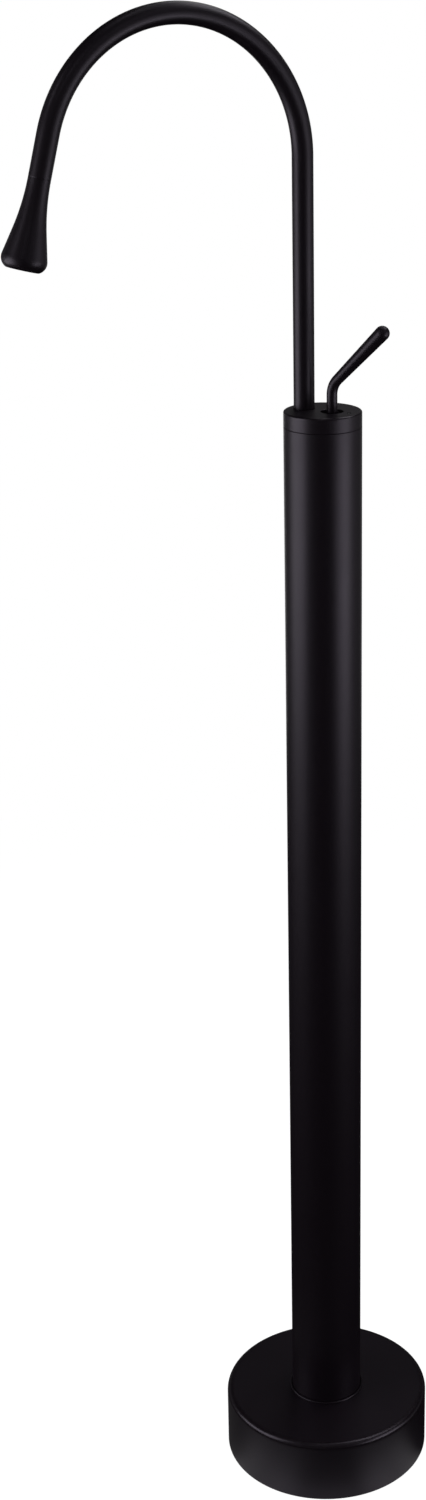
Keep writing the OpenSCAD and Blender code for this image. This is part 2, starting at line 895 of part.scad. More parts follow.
module spindle() {
    color("silver")
        on_valve_line()
            translate([lever_x, 0, 0])
                difference() {
                    union() {
                        translate([0, 0, ball_z]) sphere(r = ball_r);
                        translate([0, 0, ball_z]) cylinder(r = shank_r, h = pivot_z - ball_z);
                        translate([0, 0, pivot_z - hub_drop])
                            cylinder(r = hub_r, h = handle_bottom - pivot_z + hub_drop);
                        translate([0, 0, handle_bottom])
                            cylinder(r = spindle_top_r, h = spindle_top - handle_bottom);
                    }
                    translate([0, 0, pivot_z])
                        rotate([90, 0, 0])
                            cylinder(r = pin_r + run_clear, h = 2 * hub_r + 2 * cut, center = true);
                }
}

module lever_handle() {
    color([0.1, 0.1, 0.11])
        on_valve_line()
            translate([lever_x, 0, 0])
                difference() {
                    union() {
                        translate([0, 0, handle_bottom])
                            cylinder(r = lever_r, h = lever_bend_z - handle_bottom);
                        translate([lever_bend_r, 0, lever_bend_z])
                            mirror([1, 0, 0])
                                rotate([90, 0, 0])
                                    rotate_extrude(angle = lever_bend)
                                        translate([lever_bend_r, 0]) circle(r = lever_r);
                        translate([lever_bend_r, 0, lever_bend_z])
                            rotate([0, lever_bend, 0])
                                translate([-lever_bend_r, 0, 0])
                                    grip();
                    }
                    translate([0, 0, handle_bottom - cut])
                        cylinder(r = spindle_top_r + fit_clear,
                            h = spindle_top - handle_bottom + cut + blind_gap);
                    translate([0, 0, grub_z])
                        rotate([-90, 0, 0])
                            cylinder(r = grub_r + fit_clear, h = lever_r + cut);
                }
}

// The grip along Z, a slim taper with a round end
module grip() {
    translate([0, 0, -bend_lap]) cylinder(r = lever_r + bend_step, h = bend_lap);
    cylinder(r1 = lever_r + bend_step, r2 = grip_end_r, h = grip_len);
    translate([0, 0, grip_len])
        intersection() {
            sphere(r = grip_end_r);
            cylinder(r = 2 * grip_end_r, h = 2 * grip_end_r);
        }
}

module lever_grub_screw() {
    color("silver")
        on_valve_line()
            translate([lever_x, grub_tip_r, grub_z])
                rotate([-90, 0, 0])
                    difference() {
                        cylinder(r = grub_r, h = lever_r - grub_tip_r - air_clear);
                        translate([0, 0, (lever_r - grub_tip_r) / 3]) hexagon(grub_r, lever_r);
                    }
}

// Spout

module spout_tube() {
    color([0.1, 0.1, 0.11])
        difference() {
            union() {
                translate(swivel_axis)
                    tube(spout_r, spout_in_r, tube_bottom, bend_z - tube_bottom);
                translate([swivel_axis.x - spout_bend_r, swivel_axis.y, bend_z])
                    rotate([90, 0, 0])
                        rotate_extrude(angle = spout_sweep)
                            translate([spout_bend_r, 0])
                                difference() {
                                    circle(r = spout_r);
                                    circle(r = spout_in_r);
                                }
                at_outlet()
                    tube(spout_r + bend_step, spout_in_r - bend_step, -bend_lap, spout_tail + bend_lap);
            }
            swivel_groove();
        }
}

// The part-turn groove whose ends stop the spout against the retainer's tooth
module swivel_groove() {
    translate([swivel_axis.x, swivel_axis.y, body_top - groove_gap])
        rotate([0, 0, 90 + valve_turn - groove_half])
            rotate_extrude(angle = 2 * groove_half)
                translate([groove_r, 0])
                    square([spout_r - groove_r + cut, retainer_t + 2 * groove_gap]);
}

module spout_spigot() {
    color("goldenrod")
        on_valve_line()
            translate([spout_x, 0, 0])
                difference() {
                    union() {
                        translate([0, 0, spigot_bottom])
                            cylinder(r = spout_r, h = tube_bottom - spigot_bottom);
                        translate([0, 0, tube_bottom])
                            cylinder(r = spout_in_r - fit_clear, h = spigot_plug_top - tube_bottom);
                    }
                    translate([0, 0, spigot_bottom - cut])
                        cylinder(r = spigot_bore_r, h = spigot_plug_top - spigot_bottom + 2 * cut);
                    for (z = spout_seal_z)
                        tube(spout_r + cut, spout_r - 2 * spout_seal_r - run_clear,
                            z - spout_seal_r - run_clear, 2 * (spout_seal_r + run_clear));
                }
}

module spout_o_rings() {
    color("black")
        on_valve_line()
            translate([spout_x, 0, 0])
                for (z = spout_seal_z)
                    seal(spout_r + run_clear - seal_gap - 2 * spout_seal_r, spout_seal_r, z);
}

module nozzle() {
    color([0.1, 0.1, 0.11])
        at_outlet()
            difference() {
                union() {
                    rotate_extrude() nozzle_outline();
                    translate([0, 0, spout_tail - nozzle_nipple])
                        cylinder(r = spout_in_r - fit_clear, h = nozzle_nipple + cut);
                }
                translate([0, 0, spout_tail - nozzle_nipple - cut])
                    cylinder(r = nozzle_bore_r, h = nozzle_len + nozzle_nipple);
                translate([0, 0, aerator_start - aerator_washer_t])
                    cylinder(r = aerator_r + fit_clear,
                        h = aerator_h + aerator_washer_t + aerator_recess + cut);
            }
}

// Half of the nozzle's outline: a hollow flare, a straight cone and a round mouth edge
module nozzle_outline() {
    difference() {
        translate([0, spout_tail]) square([flare_end_r, flare_end_s - spout_tail]);
        translate([spout_r + flare_r, spout_tail]) circle(r = flare_r, $fn = 256);
        translate([spout_r, spout_tail])
            polygon([[-nozzle_seam, 0], [cut, -cut], [cut, cut + nozzle_seam], [0, nozzle_seam]]);
    }
    polygon([[0, flare_end_s], [flare_end_r, flare_end_s], edge_tangent, [edge_r, edge_s], [0, edge_s]]);
    translate([0, edge_s]) square([edge_r, mouth_edge_r]);
    difference() {
        translate([edge_r, edge_s]) circle(r = mouth_edge_r);
        translate([-mouth_edge_r, edge_s - mouth_edge_r]) square([mouth_edge_r, 2 * mouth_edge_r]);
    }
}

module aerator_washer() {
    color("black")
        at_outlet()
            tube(aerator_r - seal_slack, washer_in_r, aerator_start - aerator_washer_t, aerator_washer_t);
}

module aerator_housing() {
    color("silver")
        at_outlet()
            difference() {
                tube(aerator_r, aerator_in_r - aerator_lip_w, aerator_start, aerator_h);
                translate([0, 0, aerator_start - cut])
                    cylinder(r = aerator_in_r, h = aerator_h - aerator_lip + cut);
                for (i = [0:1])
                    rotate([0, 0, 90 * i])
                        translate([-aerator_r - cut, -key_slot_w / 2, aerator_end - aerator_lip / 2])
                            cube([2 * (aerator_r + cut), key_slot_w, aerator_lip + cut]);
            }
}

module aerator_insert() {
    color("whitesmoke")
        at_outlet()
            translate([0, 0, aerator_start])
                difference() {
                    cylinder(r = aerator_in_r - fit_clear, h = aerator_h - aerator_lip - outlet_disc_t);
                    hole_rings(insert_rings, insert_hole_r, aerator_h);
                }
}

module aerator_outlet() {
    color("silver")
        at_outlet()
            translate([0, 0, aerator_end - aerator_lip - outlet_disc_t])
                difference() {
                    cylinder(r = aerator_in_r - fit_clear, h = outlet_disc_t);
                    hole_rings(outlet_rings, outlet_hole_r, outlet_disc_t);
                }
}

// Rings of round holes, each ring given as the number of holes and its radius
module hole_rings(rings, hole_r, h) {
    for (ring = rings)
        for (i = [0:ring[0] - 1])
            rotate([0, 0, 360 * i / ring[0]])
                translate([ring[1], 0, -cut])
                    cylinder(r = hole_r, h = h + 2 * cut);
}

// Supply

module hose() {
    color("lightgray")
        tube(hose_r, hose_bore_r, hose_bottom, hose_top - hose_bottom);
}

module cold_hose() {
    at_hose(1) hose();
}

module hot_hose() {
    at_hose(-1) hose();
}

module hose_ferrules() {
    color("silver")
        at_hoses() {
            tube(hose_r + ferrule_wall, hose_r + fit_clear, hose_bottom, ferrule_h);
            tube(hose_r + ferrule_wall, hose_r + fit_clear, hose_top - ferrule_h, ferrule_h);
        }
}

module hose_nipples() {
    color("goldenrod")
        at_hoses()
            difference() {
                union() {
                    translate([0, 0, hose_top - ferrule_h])
                        cylinder(r = hose_bore_r - fit_clear, h = ferrule_h);
                    translate([0, 0, hose_top]) hexagon(nipple_hex_af, nipple_hex_h);
                    translate([0, 0, hose_top + nipple_hex_h])
                        cylinder(r = nipple_neck_r, h = nipple_seal_h);
                    translate([0, 0, body_bottom]) cylinder(r = nipple_thread_r, h = nipple_thread_h);
                }
                translate([0, 0, hose_top - ferrule_h - cut])
                    cylinder(r = water_r,
                        h = body_bottom + nipple_thread_h - hose_top + ferrule_h + 2 * cut);
            }
}

module nipple_o_rings() {
    color("black")
        at_hoses()
            seal(nipple_neck_r + fit_clear, nipple_seal_h / 2 - fit_clear, body_bottom - nipple_seal_h / 2);
}

module hose_tails() {
    color("goldenrod")
        at_hoses()
            difference() {
                union() {
                    translate([0, 0, tail_z]) cylinder(r = supply_bore / 2 - air_clear, h = tail_flange_t);
                    translate([0, 0, tail_z]) cylinder(r = tail_neck_r, h = hose_bottom - tail_z);
                    translate([0, 0, tail_z])
                        cylinder(r = hose_bore_r - fit_clear, h = hose_bottom - tail_z + ferrule_h);
                }
                translate([0, 0, tail_z - cut])
                    cylinder(r = water_r, h = hose_bottom - tail_z + ferrule_h + 2 * cut);
            }
}

module supply_nut() {
    color("silver")
        difference() {
            translate([0, 0, supply_z]) hexagon(supply_af, supply_nut_h);
            translate([0, 0, supply_z - cut])
                cylinder(r = supply_bore / 2, h = tail_z - supply_seal_t - supply_z + cut);
            translate([0, 0, tail_z - supply_seal_t])
                cylinder(r = supply_bore / 2 + nut_relief, h = supply_seal_t + tail_flange_t + seal_slack);
            translate([0, 0, supply_z]) cylinder(r = tail_neck_r + screw_clear, h = supply_nut_h + cut);
        }
}

module cold_supply_nut() {
    at_hose(1) supply_nut();
}

module hot_supply_nut() {
    at_hose(-1) supply_nut();
}

module supply_seals() {
    color("black")
        at_hoses()
            tube(supply_bore / 2 - seal_slack, nipple_neck_r, tail_z - supply_seal_t, supply_seal_t);
}

floor_flange();
levelling_screws();
column_clamp_screws();
column_tube();
column_head_ring();
head_screws();
valve_body();
cap();
cap_o_ring();
index_dot();
spout_bush();
spout_retainer();
retainer_screw();
cartridge_base();
port_seals();
cartridge_housing();
fixed_disc();
cartridge_nut();
cold_hose();
hot_hose();
hose_ferrules();
hose_nipples();
nipple_o_rings();
hose_tails();
cold_supply_nut();
hot_supply_nut();
supply_seals();
base_cover();
cover_collar();
collar_o_ring();
spout_tube();
spout_spigot();
spout_o_rings();
nozzle();
aerator_washer();
aerator_housing();
aerator_insert();
aerator_outlet();
rotor();
pivot_pin();
rotor_o_ring();
spindle();
lever_handle();
lever_grub_screw();
disc_carrier();
moving_disc();
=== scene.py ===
"""Looks of the floor-standing basin mixer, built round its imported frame.

Lengths are millimetres in the axes of the frame: +Z up with the origin on the floor at the column's
axis, and the spout's arch towards -X. They become metres where a mesh is made. The spout's foot, the
lever and the index dot stand on one line through the column's axis, turned from X by LINE_TURN.

PAST is how far a cutting tool reaches past what it cuts. NEAREST is the way from a sharp corner to the
support point beside it, and SHORTEST the least free length counted between two arcs. WELD is the
distance, in metres, within which two points of a mesh are one.
"""

import json
import logging
import math
from dataclasses import dataclass, field
from enum import Enum

import bmesh
import bpy
import numpy as np
from mathutils import Matrix, Vector

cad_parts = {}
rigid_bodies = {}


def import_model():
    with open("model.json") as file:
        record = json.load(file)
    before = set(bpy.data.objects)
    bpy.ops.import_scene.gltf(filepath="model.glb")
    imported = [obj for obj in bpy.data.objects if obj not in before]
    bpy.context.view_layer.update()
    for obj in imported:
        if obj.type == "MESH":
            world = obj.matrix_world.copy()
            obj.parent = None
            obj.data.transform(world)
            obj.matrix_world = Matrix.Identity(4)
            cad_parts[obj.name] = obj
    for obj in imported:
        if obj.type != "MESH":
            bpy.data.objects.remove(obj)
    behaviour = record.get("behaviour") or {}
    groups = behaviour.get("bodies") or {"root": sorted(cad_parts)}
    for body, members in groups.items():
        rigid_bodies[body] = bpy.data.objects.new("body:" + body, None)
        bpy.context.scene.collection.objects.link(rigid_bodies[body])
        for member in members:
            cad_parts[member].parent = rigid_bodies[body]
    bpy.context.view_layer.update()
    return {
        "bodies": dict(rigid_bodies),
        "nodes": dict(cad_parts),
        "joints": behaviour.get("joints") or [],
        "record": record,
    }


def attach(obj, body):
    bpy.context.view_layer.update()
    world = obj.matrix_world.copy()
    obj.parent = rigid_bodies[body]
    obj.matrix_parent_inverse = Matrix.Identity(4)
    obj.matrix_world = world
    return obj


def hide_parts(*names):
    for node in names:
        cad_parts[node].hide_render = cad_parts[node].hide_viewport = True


MM = 0.001
SHARP_ANGLE = math.radians(38.0)
LINE_TURN = -60.0
PAST = 1.0
NEAREST = 0.02
SHORTEST = 0.01
WELD = 1e-6
LOG = logging.getLogger("basin_mixer")
Socket = bpy.types.NodeSocket


class Body(Enum):
    """The bodies that pieces ride on."""

    COLUMN = "column"
    COVER = "cover"
    SPOUT = "spout"
    LEVER = "lever"


class Slot(Enum):
    """The record's material slots."""

    BLACK = "satin_black"
    DOT = "index_enamel"
    ZINC = "zinc_steel"
    STAINLESS = "stainless"
    BRASS = "brass"
    NICKEL = "nickel"
    BRAID = "braid"
    RUBBER = "rubber"
    PLASTIC = "white_plastic"
    CERAMIC = "ceramic"
    CHROME = "chrome"


# Outlines, paths and grids


def rounded(corners: np.ndarray | list, closed: bool = True, steps: int = 6) -> np.ndarray:
    """Outline through corners with an arc on each.

    An arc touches both sides of its corner at radius * tan(turn / 2). Its points are the arc's centre
    plus the first radius turned by equal shares of the corner's turn. One support point before and one
    after each arc keep the flat stretches beside it flat when they are shaded smooth.

    Args:
        corners: Rows of (distance from the axis, station, radius that eases the corner),
            counter-clockwise round a section.
        closed: Whether the last corner joins the first. If not, the two ends stay as they are.
        steps: Steps of each arc.

    Returns:
        Rows of (distance from the axis, station, edge), where edge is 1 on a convex arc.
    """
    table = np.asarray(corners, float)
    point, radius = table[:, :2], table[:, 2:]
    if closed:
        before, after = np.roll(point, 1, axis=0), np.roll(point, -1, axis=0)
    else:
        before, after = point[:-2], point[2:]
        point, radius = point[1:-1], radius[1:-1]
    side_in, side_out = point - before, after - point
    length_in = np.linalg.norm(side_in, axis=1, keepdims=True)
    length_out = np.linalg.norm(side_out, axis=1, keepdims=True)
    way_in, way_out = side_in / length_in, side_out / length_out
    turn = np.arctan2(
        way_in[:, 0] * way_out[:, 1] - way_in[:, 1] * way_out[:, 0], (way_in * way_out).sum(axis=1)
    )[:, None]
    reach = radius * np.tan(np.abs(turn) / 2.0)
    left = np.stack([-way_in[:, 1], way_in[:, 0]], axis=1) * np.sign(turn)
    start = point - way_in * reach
    centre = start + left * radius
    share = turn * np.linspace(0.0, 1.0, steps + 1)
    spoke = -left * radius
    arcs = centre[:, None] + np.stack(
        [
            spoke[:, :1] * np.cos(share) - spoke[:, 1:] * np.sin(share),
            spoke[:, :1] * np.sin(share) + spoke[:, 1:] * np.cos(share),
        ],
        axis=-1,
    )

    def support(length: np.ndarray) -> np.ndarray:
        """Way to a support point: it grows with the radius, within a fifth of what the arcs leave."""
        free = np.maximum(length - 2.0 * reach, SHORTEST)
        return np.minimum(0.4 * radius + NEAREST, 0.2 * free)

    first = start - way_in * support(length_in)
    last = point + way_out * (reach + support(length_out))
    chain = np.concatenate([first[:, None], arcs, last[:, None]], axis=1)
    edge = np.zeros(chain.shape[:2])
    edge[:, 1:-1] = turn > 0.0
    outline = np.dstack([chain, edge]).reshape(-1, 3)
    if not closed:
        ends = np.c_[table[[0, -1], :2], [0.0, 0.0]]
        outline = np.vstack([ends[:1], outline, ends[1:]])
    return outline


@dataclass(frozen=True)
class BentPath:
    """A line that rises along Z, bends once in the XZ plane and runs on straight.

    Attributes:
        x: Where the line stands along X.
        z: Height at which its stations start.
        rise: Length of the straight rise, which a line without a bend never leaves.
        bend_r: Radius of the bend.
        sweep: Angle of the bend in degrees.
        towards: 1 for a bend towards +X and -1 for one towards -X.
        y: Where the line stands along Y.
    """

    x: float = 0.0
    z: float = 0.0
    rise: float = 1e6
    bend_r: float = 1.0
    sweep: float = 0.0
    towards: float = 1.0
    y: float = 0.0

    @property
    def bend_end(self) -> float:
        """Station at which the bend ends: the rise plus radius times sweep."""
        return self.rise + self.bend_r * math.radians(self.sweep)

    def at(self, station: np.ndarray) -> tuple[np.ndarray, np.ndarray]:
        """Points on the line and the normals that lie in its plane.

        The line turns by (station - rise) / radius, held between nothing and the sweep. What is left
        beyond the bend runs on along the last direction.

        Args:
            station: Distances along the line from its start.

        Returns:
            The points and the normals, each as (count, 3).
        """
        sweep = math.radians(self.sweep)
        turned = np.clip((station - self.rise) / self.bend_r, 0.0, sweep)
        beyond = np.maximum(station - self.bend_end, 0.0)
        across = self.bend_r * (1.0 - np.cos(turned)) + beyond * math.sin(sweep)
        up = np.minimum(station, self.rise) + self.bend_r * np.sin(turned) + beyond * math.cos(sweep)
        flat = np.zeros_like(turned)
        points = np.stack([self.x + self.towards * across, flat + self.y, self.z + up], axis=-1)
        normals = np.stack([np.cos(turned), flat, -self.towards * np.sin(turned)], axis=-1)
        return points, normals


@dataclass
class Sheet:
    """A grid of points that closes round its columns, and round its rows if it is a ring.

    Attributes:
        points: The grid as (rows, columns, 3).
        edge: How much each point lies on an outer edge, as (rows, columns).
        ring: Whether the last row joins the first.
    """

    points: np.ndarray
    edge: np.ndarray
    ring: bool

    def faces(self, first: int) -> np.ndarray:
        """Four corners of each face: a point, the next round, and the same two of the next row.

        Args:
            first: Number of the grid's first point in its mesh.

        Returns:
            Rows of four numbers of points.
        """
        rows, columns = self.points.shape[:2]
        index = first + np.arange(rows * columns).reshape(rows, columns)
        index = np.hstack([index, index[:, :1]])
        if self.ring:
            index = np.vstack([index, index[:1]])
        corners = [index[:-1, :-1], index[:-1, 1:], index[1:, 1:], index[1:, :-1]]
        return np.stack(corners, -1).reshape(-1, 4)


def spokes(angle: np.ndarray, normal: np.ndarray) -> np.ndarray:
    """Directions away from a path: cos a * normal + sin a * Y, as (stations, angles, 3)."""
    return np.cos(angle)[:, None] * normal[:, None] + np.sin(angle)[:, None] * np.array([0.0, 1.0, 0.0])


def carry(
    outline: np.ndarray, path: BentPath, count: int, flats: float = 0.0, ring: bool = True
) -> Sheet:
    """Carries an outline along a path and round it.

    A point is the path's point plus its distance from the axis times its spoke. With flats, the distance
    is held within a hexagon: half its width over the cosine of the angle from the middle of the nearest
    flat.

    Args:
        outline: Rows of (distance from the axis, station, edge).
        path: The line that the stations count along.
        count: Columns round the axis.
        flats: Width across the flats of a hexagon, or 0 for a round piece.
        ring: Whether the outline is closed.

    Returns:
        The grid.
    """
    angle = np.linspace(0.0, 2.0 * np.pi, count, endpoint=False)
    distance = np.broadcast_to(outline[:, :1], (len(outline), count))
    if flats:
        off = np.mod(angle, np.pi / 3.0) - np.pi / 6.0
        distance = np.minimum(distance, flats / 2.0 / np.cos(off))
    centre, normal = path.at(outline[:, 1])
    points = centre[:, None] + distance[..., None] * spokes(angle, normal)
    edge = np.broadcast_to(outline[:, 2:], (len(outline), count))
    return Sheet(points, edge, ring)


def threaded(radius: float, depth: float, pitch: float, bottom: float, top: float) -> Sheet:
    """A rod with a true helical thread, closed at both ends.

    The distance from the axis is the radius less the depth times a triangle wave of height / pitch less
    the angle's share of a turn. It runs out to a cone at both ends, which starts below the thread's root.

    Args:
        radius: Crest of the thread.
        depth: Depth of the thread.
        pitch: Rise of one turn.
        bottom: Height of the lower end.
        top: Height of the upper end.

    Returns:
        The grid, round the Z axis.
    """
    columns, rows_a_turn, cone = 48, 8.0, 1.2
    station = np.linspace(bottom, top, int((top - bottom) / pitch * rows_a_turn) + 1)
    angle = np.linspace(0.0, 2.0 * np.pi, columns, endpoint=False)
    wave = np.abs(np.mod(station[:, None] / pitch - angle / (2.0 * np.pi), 1.0) * 2.0 - 1.0)
    runout = np.minimum(station - bottom, top - station)[:, None] + radius - cone * depth
    distance = np.pad(np.minimum(radius - depth * wave, runout), ((1, 1), (0, 0)))
    centre, normal = BentPath().at(np.r_[bottom, station, top])
    points = centre[:, None] + distance[..., None] * spokes(angle, normal)
    return Sheet(points, np.zeros(distance.shape), False)


def laid(sheet: Sheet, axis: str, degrees: float, place: tuple = (0.0, 0.0, 0.0)) -> Sheet:
    """The same grid turned about one axis through the origin and then moved to a place."""
    turn = np.array(Matrix.Rotation(math.radians(degrees), 3, axis))
    return Sheet(sheet.points @ turn.T + np.array(place), sheet.edge, sheet.ring)


def turned(sheet: Sheet, degrees: float = LINE_TURN) -> Sheet:
    """The same grid turned about the column's axis, to the line of spout and lever if not told."""
    return laid(sheet, "Z", degrees)


def around(sheet: Sheet, count: int, first: float = 0.0) -> list[Sheet]:
    """Copies of a grid, evenly spaced round the vertical from a first angle in degrees."""
    return [turned(sheet, first + 360.0 / count * i) for i in range(count)]


def pin(radius: float, bottom: float, top: float, ease: float = 0.02) -> np.ndarray:
    """Outline of a plain pin between two stations."""
    return rounded(
        [(0.0, bottom, 0.0), (radius, bottom, ease), (radius, top, ease), (0.0, top, 0.0)], closed=False
    )


def drill(radius: float, bottom: float, top: float, rim: float, ease: float = 0.02) -> np.ndarray:
    """Outline of a drill.

    Args:
        radius: Radius of the hole.
        bottom: Station that the drill goes down to.
        top: Station of the face that it enters.
        rim: How far it breaks the hole's rim, at 45 degrees.
        ease: Radius on either side of that chamfer.

    Returns:
        Rows as rounded() gives them.
    """
    above = top + PAST
    return rounded([
        (0.0, bottom, 0.0), (radius, bottom, 0.02), (radius, top - rim, ease),
        (radius + rim + PAST, above, ease), (0.0, above, 0.0),
    ], closed=False)


def solid(name: str, sheets: list[Sheet]) -> bpy.types.Object:
    """One mesh object of closed grids, with poles and seams welded and faces outwards.

    Args:
        name: Name of the object.
        sheets: Its grids, in millimetres.

    Returns:
        The object, smooth except along edges sharper than SHARP_ANGLE.
    """
    starts = np.cumsum([0] + [sheet.points.shape[0] * sheet.points.shape[1] for sheet in sheets])
    points = np.concatenate([sheet.points.reshape(-1, 3) for sheet in sheets]) * MM
    edge = np.concatenate([sheet.edge.reshape(-1) for sheet in sheets])
    faces = np.concatenate([sheet.faces(int(start)) for sheet, start in zip(sheets, starts)])
    mesh = bpy.data.meshes.new(name)
    mesh.from_pydata(points, [], faces)
    mesh.attributes.new("edge", "FLOAT", "POINT").data.foreach_set("value", edge.astype(np.float32))
    shape = bmesh.new()
    shape.from_mesh(mesh)
    bmesh.ops.remove_doubles(shape, verts=shape.verts, dist=WELD)
    bmesh.ops.dissolve_degenerate(shape, edges=shape.edges, dist=0.1 * WELD)
    bmesh.ops.recalc_face_normals(shape, faces=shape.faces)
    shape.to_mesh(mesh)
    shape.free()
    mesh.shade_smooth()
    mesh.set_sharp_from_angle(angle=SHARP_ANGLE)
    piece = bpy.data.objects.new(name, mesh)
    bpy.context.scene.collection.objects.link(piece)
    return piece


def carve(piece: bpy.types.Object, sheets: list[Sheet]) -> None:
    """Cuts closed grids out of a piece, and leaves the cuts with sharp rims.

    Args:
        piece: The object to cut.
        sheets: What is cut away, none of them crossing another.
    """
    tool = solid(f"{piece.name}_tool", sheets)
    cut = piece.modifiers.new("cut", "BOOLEAN")
    cut.object = tool
    cut.operation = "DIFFERENCE"
    cut.solver = "EXACT"
    depsgraph = bpy.context.evaluated_depsgraph_get()
    mesh = bpy.data.meshes.new_from_object(piece.evaluated_get(depsgraph))
    piece.modifiers.clear()
    spent = [piece.data, tool.data]
    piece.data = mesh
    bpy.data.objects.remove(tool)
    for old in spent:
        bpy.data.meshes.remove(old)
    mesh.name = piece.name
    mesh.shade_smooth()
    mesh.set_sharp_from_angle(angle=SHARP_ANGLE)


# Finishes


class Graph:
    """Adds nodes to a tree and wires them in one call."""

    def __init__(self, tree: bpy.types.NodeTree) -> None:
        """Keeps the tree."""
        self.tree = tree

    def add(self, kind: str, inputs: dict | None = None, **settings) -> bpy.types.Node:
        """Adds a node.

        Args:
            kind: Type of the node.
            inputs: Values or output sockets by the input's name or number.
            settings: Properties of the node.

        Returns:
            The node.
        """
        made = self.tree.nodes.new(kind)
        for setting, value in settings.items():
            setattr(made, setting, value)
        self.wire(made, inputs or {})
        return made

    def wire(self, node: bpy.types.Node, inputs: dict) -> None:
        """Sets the inputs of a node to values, or links output sockets to them."""
        for key, value in inputs.items():
            if isinstance(value, Socket):
                self.tree.links.new(value, node.inputs[key])
            else:
                node.inputs[key].default_value = value

    def math(self, operation: str, *values: Socket | float, clamp: bool = False) -> Socket:
        """Output of a Math node over values or sockets."""
        return self.add(
            "ShaderNodeMath", dict(enumerate(values)), operation=operation, use_clamp=clamp
        ).outputs[0]

    def noise(self, vector: Socket, scale: Socket | float, detail: float, roughness: float) -> Socket:
        """Value of a noise texture at a vector."""
        made = self.add(
            "ShaderNodeTexNoise",
            {"Vector": vector, "Scale": scale, "Detail": detail, "Roughness": roughness},
        )
        return made.outputs[0]

    def ramp(
        self, value: Socket, low: float, high: float, to_low: Socket | float, to_high: Socket | float,
        smooth: bool = True,
    ) -> Socket:
        """Output of a Map Range node."""
        made = self.add(
            "ShaderNodeMapRange",
            {"Value": value, "From Min": low, "From Max": high, "To Min": to_low, "To Max": to_high},
            interpolation_type="SMOOTHSTEP" if smooth else "LINEAR",
        )
        return made.outputs[0]

    def mix(self, factor: Socket, first: tuple, second: tuple) -> Socket:
        """Colour between two colours."""
        made = self.add("ShaderNodeMix", {0: factor, 6: first, 7: second}, data_type="RGBA")
        return made.outputs[2]

    def group(self, tree: bpy.types.NodeTree, *inputs: Socket | float) -> bpy.types.NodeOutputs:
        """Outputs of a group node over values or sockets."""
        return self.add("ShaderNodeGroup", dict(enumerate(inputs)), node_tree=tree).outputs


